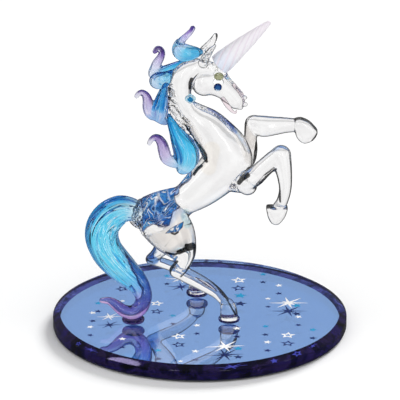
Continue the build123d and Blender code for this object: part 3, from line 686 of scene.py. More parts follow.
def fused(name, runs, material, cell=0.32, k=0.6, flutes=(), twist=0.0, times=1, tips=()):
    """One closed, solid piece of overlapping runs. The first run sets the streaks'
    direction; a tip has its own, in the second half of the piece's length.
    flutes are (count, depth, phase) waves round the first run."""
    every = list(runs) + list(tips)
    rows = np.vstack([smooth_chain(r, 0.4) for r in every])
    reach = rows[:, 3:4] * np.maximum(rows[:, 4:5], 1.0) + 1.6
    f = Field((rows[:, :3] - reach).min(0), (rows[:, :3] + reach).max(0), cell)
    d = None
    for r in every:
        e = f.run(r, 0.4, pad=1.4)
        d = e if d is None else smin(d, e, k)
    d = blur(d, times)
    verts, quads = surface_nets(d, f.low, cell)
    for _ in range(3):
        v, g = f.sample(d, verts), f.slope(d, verts)
        verts = verts - g * np.clip(v / np.maximum((g * g).sum(1), 1e-6), -0.3, 0.3)[:, None]
    verts = relax(verts, quads)
    at, part, depth, side, size, off, rad, total = along_run(runs[0], verts)
    theta = np.arctan2(side, depth)
    if flutes:
        nrm = point_normals(verts, quads)
        if (nrm * off).sum() < 0:
            nrm = -nrm
        move = np.zeros(len(verts))
        for count, amount, phase in flutes:
            move += amount * rad * np.cos(count * theta + twist * at + phase)
        verts = verts + nrm * (move * np.clip((1 - part) / 0.12, 0, 1))[:, None]
    size = np.maximum(size, 1e-6)
    flow = np.stack([depth / size, side / size, at], 1)
    if tips:
        own = [along_run(r, verts) for r in runs]
        nearest = np.min([np.linalg.norm(o[5], axis=1) - o[6] for o in own], axis=0)
        part = part * 0.5
        for r in tips:
            at2, part2, depth2, side2, size2, off2, rad2, _ = along_run(r, verts)
            here = np.linalg.norm(off2, axis=1) - rad2 < nearest
            size2 = np.maximum(size2, 1e-6)
            flow[here] = np.stack([depth2 / size2, side2 / size2, total + at2], 1)[here]
            part[here] = 0.5 + 0.5 * part2[here]
    ob = make_object(name, verts, quads, [material])
    vector_attribute(ob, "flow", flow)
    float_attribute(ob, "along", part)
    check_outward(ob)
    return ob


# ================================================================== body
NECK = [
    (-1.2, 3.0, 118.0, 3.19, 0.80), (-4.8, 3.0, 115.7, 4.50, 0.78),
    (-7.7, 3.0, 112.1, 5.02, 0.78), (-8.4, 3.0, 107.4, 4.81, 0.78),
    (-7.9, 3.0, 103.6, 4.60, 0.78), (-5.5, 3.0, 99.1, 4.35, 0.80), (-2.0, 3.0, 95.7, 5.46, 0.80),
    (3.2, 3.0, 90.7, 7.77, 0.80), (7.8, 3.0, 84.7, 9.23, 0.80), (10.8, 3.0, 80.0, 10.18, 0.80),
    (12.1, 3.0, 75.7, 10.40, 0.80),
]
BARREL = [
    (12.1, 3.0, 76.3, 10.10, 0.80), (9.7, 3.0, 71.8, 10.06, 0.83),
    (5.2, 3.0, 67.0, 9.32, 0.86), (0.5, 3.0, 62.6, 8.36, 0.88),
    (-3.4, 3.0, 59.4, 7.30, 0.90), (-5.5, 3.0, 58.0, 6.80, 0.90),
]
RUMP = [
    (-9.2, 3.0, 55.6, 7.20, 0.92), (-12.4, 3.0, 54.1, 7.90, 0.94),
    (-17.1, 3.0, 52.3, 8.30, 0.95), (-21.6, 3.0, 50.9, 7.52, 0.95),
    (-25.3, 3.0, 50.0, 5.60, 0.93), (-27.4, 3.0, 49.7, 3.40, 0.93),
]
HEAD = [
    (1.8, 3.0, 109.8, 4.76, 0.60), (4.3, 3.0, 110.4, 5.19, 0.60), (6.9, 3.0, 110.0, 5.36, 0.60),
    (10.3, 3.0, 107.5, 4.47, 0.62), (13.3, 3.0, 104.7, 3.96, 0.64),
    (15.5, 3.0, 102.1, 3.49, 0.70),
]
BOSS = [
    (1.4, 3.0, 117.1, 3.19, 0.75), (4.3, 3.0, 117.1, 2.97, 0.75), (7.1, 3.0, 116.2, 2.63, 0.75),
    (9.2, 3.0, 114.6, 1.91, 0.75),
]
CREST = [
    (-7.1, 3.2, 117.7, 1.78, 0.80), (-10.3, 3.2, 113.4, 1.96, 0.70),
    (-11.7, 3.2, 108.9, 1.62, 0.70), (-11.5, 3.2, 104.0, 1.96, 0.70),
    (-10.7, 3.2, 99.4, 2.73, 0.70), (-9.0, 3.2, 95.6, 2.99, 0.70), (-6.7, 3.2, 92.0, 2.39, 0.70),
    (-4.4, 3.2, 88.6, 1.88, 0.70),
]
RIGHT_EAR = [
    (1.4, 0.4, 120.2, 2.20, 0.50), (2.8, -0.4, 123.2, 1.95, 0.50),
    (4.3, -1.0, 125.9, 1.57, 0.50), (5.8, -1.3, 127.8, 1.10, 0.52),
    (6.9, -1.5, 129.2, 0.59, 0.58),
]
LEFT_EAR = [
    (0.7, 5.0, 120.7, 2.55, 0.50), (2.2, 6.4, 123.3, 2.46, 0.50), (4.0, 7.0, 125.7, 2.08, 0.50),
    (5.4, 7.3, 127.7, 1.70, 0.50), (6.4, 7.5, 129.5, 1.36, 0.55), (6.7, 7.5, 130.5, 1.06, 0.60),
]
LEFT_FORE_UP = [
    (15.1, 6.0, 71.6, 4.29), (19.8, 9.6, 73.0, 3.87), (21.8, 12.6, 76.5, 3.01),
    (21.8, 14.0, 81.5, 2.79), (22.2, 14.0, 86.0, 3.09), (22.8, 14.0, 88.0, 3.52),
]
LEFT_FORE_LOW = [
    (23.7, 14.0, 87.6, 3.99), (27.3, 14.0, 86.8, 4.55), (32.3, 14.0, 87.0, 3.95),
    (36.6, 14.0, 87.3, 3.39), (40.7, 14.0, 87.3, 2.92),
]
LEFT_FORE_HOOF = [(40.3, 89.9), (42.8, 90.8), (46.9, 89.3), (50.9, 84.7), (49.7, 81.6), (47.4, 79.8), (44.5, 79.3), (41.9, 81.2), (40.6, 84.4)]
RIGHT_FORE_UP = [
    (13.8, -0.5, 66.4, 4.00), (18.6, -3.4, 67.4, 4.20), (23.1, -6.0, 71.0, 4.20),
    (27.3, -7.0, 75.5, 3.90), (31.6, -8.0, 79.9, 3.80), (34.4, -8.0, 82.0, 3.90),
]
RIGHT_FORE_LOW = [
    (34.8, -8.0, 81.8, 3.95), (35.4, -8.0, 76.8, 3.80), (36.2, -8.0, 71.3, 3.15),
    (36.4, -8.0, 65.9, 2.65), (35.2, -8.0, 60.8, 2.50), (33.6, -8.0, 58.0, 2.60),
]
RIGHT_FORE_HOOF = [(28.1, 58.8), (37.8, 58.5), (37.3, 55.5), (35.7, 52.4), (33.7, 50.4), (31.1, 50.5), (29.3, 52.6), (28.4, 55.6)]
RIGHT_HIND_UP = [
    (-18.8, -0.6, 52.6, 8.80, 0.62), (-16.2, -2.6, 49.6, 10.30, 0.62),
    (-12.3, -4.8, 45.5, 9.90, 0.62), (-8.7, -6.9, 40.7, 7.20, 0.70),
    (-6.7, -8.1, 36.1, 4.70, 0.88), (-7.8, -9.0, 31.9, 3.40, 0.97),
    (-9.8, -9.5, 29.4, 3.00, 1.00),
]
RIGHT_HIND_LOW = [
    (-9.9, -9.5, 29.4, 3.10), (-4.2, -10.0, 26.7, 3.30), (2.2, -10.5, 23.2, 3.10),
    (7.4, -11.0, 19.7, 2.50), (10.2, -11.0, 16.5, 2.20),
]
RIGHT_HIND_HOOF = [
    (11.0, -11.0, 15.2, 2.50), (12.0, -11.0, 13.9, 3.15), (12.5, -11.0, 11.0, 3.70),
    (12.6, -11.0, 6.6, 4.15),
]
LEFT_HIND_UP = [
    (-18.2, 6.6, 50.0, 7.00, 0.60), (-17.6, 9.0, 45.0, 7.60, 0.62),
    (-15.2, 11.8, 38.4, 6.60, 0.66), (-15.0, 14.0, 33.0, 4.30, 0.80),
    (-17.9, 15.8, 28.2, 2.90, 0.97), (-21.0, 17.0, 24.6, 2.25, 1.0),
]
LEFT_HIND_LOW = [
    (-21.2, 17.0, 24.2, 2.30), (-16.0, 18.0, 22.1, 2.35), (-9.5, 18.5, 19.4, 2.35),
    (-4.6, 19.0, 16.0, 2.15), (-2.0, 19.0, 12.6, 2.20),
]
LEFT_HIND_HOOF = [
    (-1.6, 19.0, 11.8, 2.60), (-1.3, 19.0, 10.8, 3.50), (-1.2, 19.0, 6.6, 4.10),
]
# painted shade, dark lines along creases and outlines: line (x, z), half width, strength, side of the animal
SHADE_LINES = [
    ([(-6.7, 92.7), (-3.3, 87.3), (-0.3, 83.4)], 0.30, 0.9, 0),
    ([(-0.3, 83.4), (1.8, 80.0), (2.7, 76.8)], 0.77, 0.95, 0),
    ([(-3.6, 113.3), (-4.2, 111.5), (-4.2, 108.8)], 0.64, 1.0, -1),
    ([(-0.4, 115.6), (-2.9, 113.1), (-3.1, 109.2), (-2.0, 107.2)], 0.34, 0.6, -1),
    ([(16.6, 68.6), (18.2, 70.8), (20.7, 72.9)], 0.82, 1.0, -1),
    ([(-14.5, 37.7), (-10.6, 37.7), (-8.5, 39.1)], 0.52, 1.0, -1),
    ([(-8.9, 39.0), (-6.3, 40.2), (-3.8, 40.5)], 1.16, 1.0, -1),
    ([(-5.9, 41.9), (-3.3, 41.7), (-2.1, 39.8)], 0.77, 1.0, -1),
    ([(-2.3, 39.3), (-2.3, 36.5), (-3.8, 32.9), (-5.9, 30.1), (-8.1, 28.1)], 0.47, 0.9, -1),
    ([(-9.6, 34.4), (-11.9, 31.4), (-13.0, 29.3), (-12.6, 26.5), (-10.2, 24.7)], 0.47, 0.95, -1),
    ([(-12.1, 47.2), (-10.6, 46.8), (-9.2, 47.7)], 0.47, 1.0, -1),
    ([(7.4, 130.7), (7.7, 129.0), (7.2, 126.6), (6.3, 125.0)], 0.82, 1.0, 0),
    ([(5.4, 129.9), (4.2, 127.5), (2.5, 125.6), (0.5, 124.4)], 0.34, 0.7, 0),
    ([(-2.5, 70.3), (-0.8, 72.8), (0.9, 74.4)], 0.47, 0.9, -1),
    ([(31.8, 75.2), (32.9, 71.3), (34.0, 65.9), (34.3, 61.3)], 0.47, 0.95, -1),
    ([(39.4, 72.2), (39.6, 67.7), (38.7, 63.1), (37.5, 58.6)], 0.43, 0.85, -1),
    ([(32.4, 76.4), (28.2, 72.5), (23.1, 66.8)], 0.43, 0.9, -1),
    ([(24.4, 80.1), (23.7, 76.0), (23.2, 71.4)], 0.56, 0.95, 1),
    ([(19.0, 82.8), (19.2, 87.8), (19.5, 90.4)], 0.47, 0.9, 1),
    ([(28.3, 55.4), (30.0, 52.0)], 0.47, 0.9, -1),
    ([(36.0, 53.1), (34.6, 51.1)], 0.43, 0.85, -1),
    ([(50.8, 84.7), (48.6, 81.5)], 0.60, 0.95, 0),
    ([(40.8, 90.1), (40.7, 86.9), (41.0, 84.2)], 0.39, 0.6, 0),
    ([(28.5, 58.7), (33.8, 58.4), (37.2, 58.3)], 0.39, 0.6, 0),
    ([(19.6, 91.3), (19.5, 88.8)], 0.56, 0.8, 0),
    ([(9.3, 15.3), (13.4, 15.4)], 0.30, 0.8, -1),
    ([(0.3, 29.2), (3.5, 26.8), (7.4, 23.2), (11.1, 18.3), (13.2, 14.8), (15.3, 10.9)], 0.39, 0.95, -1),
    ([(7.6, 15.1), (8.1, 11.4), (9.1, 7.7)], 0.34, 0.85, -1),
    ([(15.6, 12.8), (16.9, 8.8)], 0.39, 0.85, -1),
    ([(-21.2, 30.4), (-23.6, 27.5), (-23.1, 24.8), (-20.6, 23.9)], 0.39, 0.9, 1),
    ([(-21.9, 26.1), (-18.8, 29.3)], 0.34, 0.5, 1),
    ([(-20.6, 25.2), (-17.1, 28.0)], 0.34, 0.5, 1),
    ([(-14.9, 41.0), (-12.6, 44.4), (-10.8, 46.5)], 0.34, 0.5, -1),
    ([(-8.0, 49.7), (-5.9, 50.1), (-3.9, 49.9)], 0.21, 0.7, -1),
]
# colours painted along lines: line (x, z), half width, colour, plane across (y)
TINT_LINES = [
    # the first three: a painted reflection of the blue glass on the far side, down the front of the neck
    ([(-2.5, 101.9), (1.8, 100.6), (6.1, 98.6), (10.3, 95.7), (13.3, 92.9)], 0.39, (160, 198, 245), 3.0),
    ([(3.5, 99.2), (6.9, 97.4), (10.7, 94.3), (13.3, 91.4), (15.5, 89.1)], 0.32, (52, 84, 176), 3.0),
    ([(12.0, 93.8), (14.4, 91.2)], 0.64, (40, 72, 168), 3.0),
    ([(-6.3, 53.7), (-5.1, 50.5)], 1.72, (214, 240, 246), -5),
    ([(0.1, 53.9), (-5.9, 51.6)], 0.86, (215, 228, 242), 3.0),
    ([(-21.4, 42.4), (-15.4, 40.6)], 5.15, (254, 252, 248), 3.0),
    ([(-20.7, 29.7), (-23.4, 25.9), (-19.9, 24.5)], 2.15, (110, 150, 208), 15.5),
    ([(24.8, 79.5), (29.8, 84.0), (34.5, 86.3)], 0.69, (150, 180, 230), -8),
    ([(5.2, 82.9), (3.5, 74.7)], 3.43, (252, 246, 236), -5),
]
# the blue patch on the croup, small blue wedges below it and its milky folds
CROUP_PATCH = [(-24.4, 59.6), (-21.4, 61.0), (-16.0, 64.2), (-11.1, 66.9), (-8.5, 68.3),
    (-3.9, 70.4), (-3.8, 68.9), (-5.5, 67.0), (-8.3, 64.4), (-10.6, 62.5), (-11.2, 60.6),
    (-10.4, 58.3), (-8.7, 56.6), (-11.6, 55.7), (-12.7, 53.1), (-13.3, 50.6), (-15.9, 50.1),
    (-20.0, 50.6), (-22.6, 48.8), (-24.5, 46.3), (-24.2, 54.1)]
WEDGES = [[(-14.9, 47.0), (-12.5, 49.0), (-9.8, 50.4), (-7.0, 51.5), (-7.6, 49.6), (-9.3, 48.2),
    (-12.1, 47.6)], [(-12.8, 36.9), (-9.6, 36.7), (-10.6, 33.7), (-11.9, 34.6)]]
MILK_1 = [(-19.0, 58.4), (-18.8, 60.3), (-17.6, 61.2)]
MILK_2 = [(-14.7, 64.8), (-14.2, 62.4), (-12.8, 59.4)]
# painted light: a warm milky white on the near thigh, where the white surround shows through the glass
THIGH_LIGHT_PATCH = [(-23.5, 48.4), (-20.5, 49.5), (-16.2, 48.8), (-13.6, 49.3), (-12.3, 52.9),
    (-9.3, 56.2), (-6.8, 55.2), (-3.8, 51.6), (-1.8, 46.1), (-2.1, 42.4), (-5.5, 42.4), (-9.3, 39.8),
    (-12.4, 38.0), (-16.2, 39.2), (-20.5, 43.3)]
# painted highlights, soft milky bands down the neck and shoulder: line (x, z), half width, strength
HIGHLIGHT_LINES = [
    ([(17.1, 88.9), (19.7, 84.4), (21.9, 78.0)], 2.79, 0.65),
    ([(-0.8, 102.0), (3.5, 100.2), (7.3, 98.1), (11.2, 95.1), (15.0, 91.2), (17.1, 88.9)], 1.20, 0.78),
    ([(-5.5, 93.0), (-2.0, 88.4), (0.5, 83.9)], 1.93, 0.6),
]


def build_body():
    f = Field((-31.5, -17.5, 4.5), (53.5, 25.0, 134.0), CELL)
    d = f.run(NECK)
    d = smin(d, f.run(CREST, 0.8), 0.5)
    head = f.run(HEAD, 0.8)
    # cheek, brow ridge, nostrils and lips
    head = smin(head, f.ellipsoid((1.8, 3.0, 109.9), (4.8, 3.7, 4.8)), 1.6)
    head = smin(head, f.run([(9.4, 3.0, 114.7, 1.0), (13.2, 3.0, 111.0, 0.8), (18.2, 3.0, 105.2, 0.7)], 0.6), 1.3)
    for side in (-1, 1):
        head = smin(head, f.ball((7.4, 3.0 + side * 1.9, 112.0), 1.7), 1.0)
    head = smin(head, f.ball((19.3, 3.0, 103.7), 1.0), 0.25)
    head = smin(head, f.ball((19.5, 3.0, 100.7), 1.05), 0.25)
    head = smin(head, f.ellipsoid((17.2, 3.0, 99.2), (1.4, 1.6, 0.9)), 0.4)
    x, y, z = f.grid()
    head = smin(head, f.run(BOSS, 0.8), 2.6)
    # the cheek stands off the neck; the poll and forehead flow into it
    d = smin(d, head, (0.55 + 2.4 / (1 + np.exp(-(x - 2.0) / 0.8)) / (1 + np.exp(-(z - 113.0) / 0.8))).astype(np.float32))
    for rows, side in ((RIGHT_EAR, -1), (LEFT_EAR, 1)):
        ear = f.run(rows, 0.6)
        hollow = [(r[0] + 0.9, r[1] + side * 1.3, r[2], r[3] * 0.5) for r in rows[1:4]]
        ear = smax(ear, -f.run(hollow, 0.6), 0.4)
        d = smin(d, ear, 0.6)
    d = smin(d, f.run(BARREL), 0.9)
    # forelegs: leg, cuff and hoof
    leg = smin(f.run(LEFT_FORE_UP, 0.8), f.run(LEFT_FORE_LOW, 0.8), 0.8)
    leg = smin(leg, prism(f, LEFT_FORE_HOOF, 14.0, 3.6, 1.0), 0.4)
    d = smin(d, leg, 1.4)
    leg = smin(f.run(RIGHT_FORE_UP, 0.8), f.run(RIGHT_FORE_LOW, 0.8), 1.0)
    leg = smin(leg, prism(f, RIGHT_FORE_HOOF, -8.0, 3.6, 1.0), 0.4)
    d = smin(d, leg, 1.0)
    d = smin(d, f.ellipsoid((20.4, -3.6, 66.0), (4.1, 4.3, 3.9)), 0.4)
    rump = f.run(RUMP)
    for a, b, c in ((RIGHT_HIND_UP, RIGHT_HIND_LOW, RIGHT_HIND_HOOF),
                    (LEFT_HIND_UP, LEFT_HIND_LOW, LEFT_HIND_HOOF)):
        leg = smin(f.run(a), f.run(b, 0.8), 0.9)
        leg = smin(leg, f.run(c, 0.6), 0.35)
        rump = smin(rump, leg, 1.2)
    d = smin(d, rump, 0.5)
    # the narrowest creases are filled, so that the surface never touches itself
    for spot in ((-5.0, -1.55, 51.5), (-19.3, 14.2, 32.4)):
        d = smin(d, f.ball(spot, 0.7), 0.4)
    d = smax(d, (FOOT_Z - z) + 0 * d, 0.4)
    d = blur(d, 1)
    verts, quads = surface_nets(d, f.low, f.cell)
    for _ in range(3):
        v, g = f.sample(d, verts), f.slope(d, verts)
        verts = verts - g * np.clip(v / np.maximum((g * g).sum(1), 1e-6), -0.4, 0.4)[:, None]
    verts = relax(verts, quads, 4)
    normals = f.slope(d, verts)
    normals /= np.maximum(np.linalg.norm(normals, axis=1), 1e-6)[:, None]
    # wall thickness at each point, to paint thin parts with a broader dark edge (painted shade)
    deep = np.zeros(len(verts))
    for h in (1.0, 1.6, 2.3, 3.0, 4.0, 5.0):
        deep = np.maximum(deep, -f.sample(d, verts - normals * h))
    fine = np.clip((4.4 - deep) / 3.0, 0, 1)
    fine = fine * (1 - near_line([(8.0, 115.5), (13.0, 110.5), (19.0, 103.0)], verts, 2.6, 1.2))
    # pressed and rippled places
    move = np.zeros(len(verts))
    for points, radius, amount, wave in (
            ([(0.6, 125.5), (3.4, 121.5), (6.6, 118.0)], 3.2, 0.30, 2.0),
            ([(-25.6, 57.5), (-25.8, 51.0), (-25.0, 44.5)], 2.4, 0.34, 2.2)):
        move += near_line(points, verts, radius, 1.6) * amount * ripples(verts, wave, 0.3)
    combed = near_line([(-12.8, 108.0), (-11.8, 102.0), (-9.4, 96.6), (-6.0, 91.5)], verts, 2.6, 1.6)
    move += combed * 0.30 * strands(verts, 1.8)
    verts = verts + normals * move[:, None]
    # soles flat on the glue films
    verts[:, 2] = np.where(verts[:, 2] < FOOT_Z + 0.12, FOOT_Z, verts[:, 2])
    # painted shade: a weight that widens the dark glass edges, more on thin parts, less on the hooves
    edge_shade = 0.08 + 0.20 * fine * np.clip((verts[:, 2] - 16.5) / 3.0, 0.2, 1)
    # short painted dark squiggles (painted shade) in the rippled places
    for points, radius, amount, wave, level in (
            ([(0.6, 125.0), (3.6, 121.0), (7.0, 117.6)], 2.8, 0.9, 1.9, 0.50),
            ([(-25.8, 58.0), (-26.0, 51.0), (-25.2, 44.0)], 2.2, 0.95, 1.9, 0.30)):
        lit = np.clip((ripples(verts, wave, 1.1) - level) / 0.25, 0, 1)
        edge_shade = np.maximum(edge_shade, near_line(points, verts, radius, 1.2) * amount * lit)
    # painted shade along the combed crest
    edge_shade = np.maximum(edge_shade, combed * 0.9 * np.clip((strands(verts, 1.8) - 0.72) / 0.2, 0, 1))
    for points, radius, amount, side in SHADE_LINES:
        w = near_line(points, verts, radius) * amount
        if side:
            w = w * np.clip(0.5 + side * (verts[:, 1] - SIDE_Y) / 2.0, 0, 1)
        edge_shade = np.maximum(edge_shade, w)
    tint = np.ones_like(verts)
    for points, radius, colour, y0 in TINT_LINES:
        w = (near_line(points, verts, radius, 1.2) * np.clip(2.4 - np.abs(verts[:, 1] - y0) / 4.5, 0, 1))[:, None]
        tint = tint * (1 - w) + w * np.array(srgb(*colour))
    # the blue patch lies over the croup and fades on its far side; 0.5 is its edge
    near = np.clip((SIDE_Y + 1.0 - verts[:, 1]) / 1.5, 0, 1)
    swirl = inside(CROUP_PATCH, verts, 4.0) * np.maximum(near, 0.66)
    for wedge in WEDGES:
        swirl = np.maximum(swirl, inside(wedge, verts, 2.0) * near)
    milk = np.maximum(near_line(MILK_1, verts, 0.4, 0.5), near_line(MILK_2, verts, 0.2, 0.4))
    # painted light on the thigh and painted highlights along the neck and shoulder
    light_patch = inside(THIGH_LIGHT_PATCH, verts, 5.0) * near
    for line, radius, amount in HIGHLIGHT_LINES:
        light_patch = np.maximum(light_patch, near_line(line, verts, radius, 1.4) * amount)
    return verts, quads, edge_shade, tint, swirl, milk, light_patch


body_v, body_q, body_edge_shade, body_tint, body_swirl, body_milk, body_light_patch = build_body()
body = make_object("clear_body", body_v, body_q, [clear_glass("clear_body_glass", swirls=True)])
float_attribute(body, "edge_shade", body_edge_shade)
float_attribute(body, "swirl", body_swirl)
float_attribute(body, "milk", body_milk)
float_attribute(body, "light_patch", body_light_patch)
vector_attribute(body, "tint", body_tint)
check_outward(body)
put(body, "clear_glass", "neck", "barrel", "hindquarters", "head", "right_ear", "left_ear",
    "left_foreleg", "left_fore_hoof", "right_foreleg", "right_fore_hoof", "right_hind_leg",
    "right_hind_hoof", "left_hind_leg", "left_hind_hoof")


# ================================================================== base
def base_materials():
    """The blue disc. Its bevel and edge carry painted shade, dark navy mottled with purple painted reflections."""
    g, t, out = new_material("blue_disc_glass")
    co = add(t, "ShaderNodeTexCoord").outputs["Object"]
    n = add(t, "ShaderNodeTexNoise", {"Vector": co, "Scale": 40.0, "Detail": 2.0})
    tint = ramp(t, n.outputs["Fac"], [(0.3, grey(1.0)), (0.7, grey(0.985))])
    flat = add(t, "ShaderNodeVectorMath", {0: co, 1: (1.0, 1.0, 0.0)}, operation="MULTIPLY").outputs[0]
    radius = add(t, "ShaderNodeVectorMath", {0: flat}, operation="LENGTH").outputs["Value"]
    high = add(t, "ShaderNodeSeparateXYZ", {0: co}).outputs[2]
    out_of = map_range(t, radius, (BASE_R - 3.10) * MM, (BASE_R - 3.02) * MM, smooth=False)
    above = map_range(t, high, (GLASS_Z + 0.01) * MM, (GLASS_Z + 0.03) * MM, smooth=False)
    rim = math_node(t, "MULTIPLY", out_of, above)
    # painted shade and painted reflections on the bevel and edge: dark navy mottled with purple
    mottle = add(t, "ShaderNodeTexNoise", {"Vector": co, "Scale": 85.0, "Detail": 3.0, "Distortion": 1.6})
    edge = ramp(t, mottle.outputs["Fac"], [(0.36, srgb(12, 10, 34)), (0.48, srgb(40, 32, 92)),
                                           (0.56, srgb(92, 70, 156)), (0.64, srgb(30, 24, 76)),
                                           (0.72, srgb(140, 108, 196))])
    tint = mix_colour(t, rim, tint, edge)
    glass_shader(t, out, tint, ior=1.52, transmission=math_node(t, "MULTIPLY_ADD", rim, -0.14, 1.0))
    vol = add(t, "ShaderNodeVolumeAbsorption", {"Color": (0.20, 0.515, 0.875, 1.0), "Density": 105.0})
    t.links.new(vol.outputs[0], out.inputs["Volume"])

    s, t, out = new_material("disc_silvering")
    co = add(t, "ShaderNodeTexCoord").outputs["Object"]
    n = add(t, "ShaderNodeTexNoise", {"Vector": co, "Scale": 60.0, "Detail": 3.0})
    c = ramp(t, n.outputs["Fac"], [(0.3, (0.93, 0.94, 0.95)), (0.7, (0.90, 0.92, 0.94))])
    p = add(t, "ShaderNodeBsdfPrincipled", {"Base Color": c, "Metallic": 1.0, "Roughness": 0.0})
    t.links.new(p.outputs[0], out.inputs["Surface"])
    return g, s


def lathe(name, profile, seg, materials, slot_of=lambda k: 0, x0=0.0, y0=0.0):
    """A closed turned piece about a vertical axis; profile runs from axis to axis."""
    a = np.arange(seg) / seg * 2 * math.pi
    verts, ring = [], []
    for r, z in profile:
        if r == 0:
            ring.append([len(verts)])
            verts.append((x0, y0, z))
        else:
            ring.append(list(range(len(verts), len(verts) + seg)))
            verts += [(x0 + r * math.cos(t), y0 + r * math.sin(t), z) for t in a]
    faces, slots = [], []
    for k in range(len(profile) - 1):
        lo, hi = ring[k], ring[k + 1]
        for i in range(seg):
            j = (i + 1) % seg
            if len(lo) == 1:
                faces.append([lo[0], hi[j], hi[i]])
            elif len(hi) == 1:
                faces.append([lo[i], lo[j], hi[0]])
            else:
                faces.append([lo[i], lo[j], hi[j], hi[i]])
            slots.append(slot_of(k))
    ob = make_object(name, verts, faces, materials, smooth=True, face_slots=slots)
    check_outward(ob)
    sharpen(ob, 12)
    return ob


def sharpen(ob, degrees):
    bm = bmesh.new()
    bm.from_mesh(ob.data)
    for e in bm.edges:
        if len(e.link_faces) == 2 and e.calc_face_angle(0) > math.radians(degrees):
            e.smooth = False
    bm.to_mesh(ob.data)
    bm.free()


def build_base():
    profile = [(0.0, GLASS_Z), (BASE_R - 0.35, GLASS_Z), (BASE_R - 0.3, GLASS_Z + 0.02),
               (BASE_R - 0.02, GLASS_Z + 0.28), (BASE_R, GLASS_Z + 0.36), (BASE_R, TOP_Z - 1.86),
               (BASE_R - 0.03, TOP_Z - 1.77), (BASE_R - 2.93, TOP_Z - 0.05),
               (BASE_R - 3.06, TOP_Z), (0.0, TOP_Z)]
    ob = lathe("mirror_disc", profile, 320, list(base_materials()), lambda k: 1 if k == 0 else 0)
    put(ob, "base_blue_glass", "base_glass", "mirror_layer")


build_base()


def plain(name, low, high, scale, rough=0.5, metallic=0.0, bump=0.0, **more):
    """A simple finish with fine variation."""
    m, t, out = new_material(name)
    co = add(t, "ShaderNodeTexCoord").outputs["Object"]
    n = add(t, "ShaderNodeTexNoise", {"Vector": co, "Scale": scale, "Detail": 4.0})
    c = ramp(t, n.outputs["Fac"], [(0.3, low), (0.7, high)])
    ins = {"Base Color": c, "Roughness": rough, "Metallic": metallic}
    ins.update(more)
    p = add(t, "ShaderNodeBsdfPrincipled", ins)
    if bump:
        b = add(t, "ShaderNodeBump", {"Strength": bump, "Distance": 0.0003, "Height": n.outputs["Fac"]})
        t.links.new(b.outputs[0], p.inputs["Normal"])
    t.links.new(p.outputs[0], out.inputs["Surface"])
    return m


def dress(node, material):
    me = nodes[node].data
    me.materials.clear()
    me.materials.append(material)


dress("backing_film", plain("backing_paint", srgb(38, 40, 52), srgb(48, 50, 62), 500, 0.6))
dress("felt_pads", plain("grey_felt", srgb(90, 90, 96), srgb(130, 130, 136), 2500, 0.95, bump=0.8))

# ----------------------------------------------------------- printed stars
# shape, x, y, outer radius, turn in degrees
WHITE_STARS = [
    ("outline", 17.1, 35.2, 3.5, 8), ("outline", 37.6, -28.2, 3.3, -6),
    ("outline", -9.0, -29.5, 3.3, 14), ("outline", -18.7, 8.0, 3.1, -10),
    ("outline", -34.2, 34.3, 3.3, 20),
    ("twinkle", 38.5, 8.5, 8.3, 0), ("twinkle", 10.7, -40.7, 8.3, 6),
    ("twinkle", -39.0, -7.3, 5.4, 3), ("twinkle", -8.3, 36.7, 6.5, -4),
    ("solid", 34.7, 29.0, 1.7, 10), ("solid", 29.7, 13.5, 1.35, 0),
    ("solid", 42.5, -7.4, 1.6, 25), ("solid", 28.8, -35.9, 1.75, -12),
    ("solid", 15.9, -20.5, 1.9, 5), ("solid", -46.3, -2.8, 1.7, 18),
    ("solid", -47.0, -18.9, 1.6, -20), ("solid", -33.0, -32.3, 1.7, 0),
    ("solid", -1.2, -17.1, 1.6, 12), ("solid", -1.9, -46.0, 1.8, -8),
    ("solid", -8.1, -57.0, 1.3, 0), ("solid", -33.6, 10.9, 1.25, 15),
]
BLUE_STARS = [
    ("solid", 17.6, 17.1, 3.0, -8), ("solid", 42.0, 5.5, 2.2, 16),
    ("solid", 27.9, 42.3, 1.7, 0), ("solid", 28.2, -18.2, 1.7, 9),
    ("solid", 48.4, -22.1, 1.8, -15), ("solid", 16.3, -43.0, 2.2, 0),
    ("solid", -11.6, -6.1, 1.7, 20), ("solid", -44.2, 8.2, 1.7, -5),
    ("solid", -17.6, -45.0, 1.8, 11), ("solid", -14.5, 40.3, 1.6, 0),
]
PRINT_LOW, PRINT_HIGH = TOP_Z + 0.004, TOP_Z + 0.06


def star_outline(kind, x, y, r, turn):
    """Corner points, anticlockwise."""
    if kind == "twinkle":
        rays = [(0, 1.0), (46, 0.93), (101, 0.78), (144, 0.42), (180, 1.0), (227, 0.84), (283, 0.74), (322, 0.44)]
        pts = []
        for i, (deg, k) in enumerate(rays):
            a = math.radians(deg + turn)
            nxt = rays[(i + 1) % len(rays)][0] + (360 if i == len(rays) - 1 else 0)
            b = math.radians((deg + nxt) / 2 + turn)
            for side in (-1, 1):
                pts.append((x + r * k * math.cos(a) - side * 0.05 * math.sin(a),
                            y + r * k * math.sin(a) + side * 0.05 * math.cos(a)))
            pts.append((x + r * 0.185 * math.cos(b), y + r * 0.185 * math.sin(b)))
        return pts
    pts = []
    for i in range(10):
        a = math.pi / 2 + math.radians(turn) + math.pi * i / 5
        k = r * (1.0 if i % 2 == 0 else 0.47)
        pts.append((x + k * math.cos(a), y + k * math.sin(a)))
    return pts


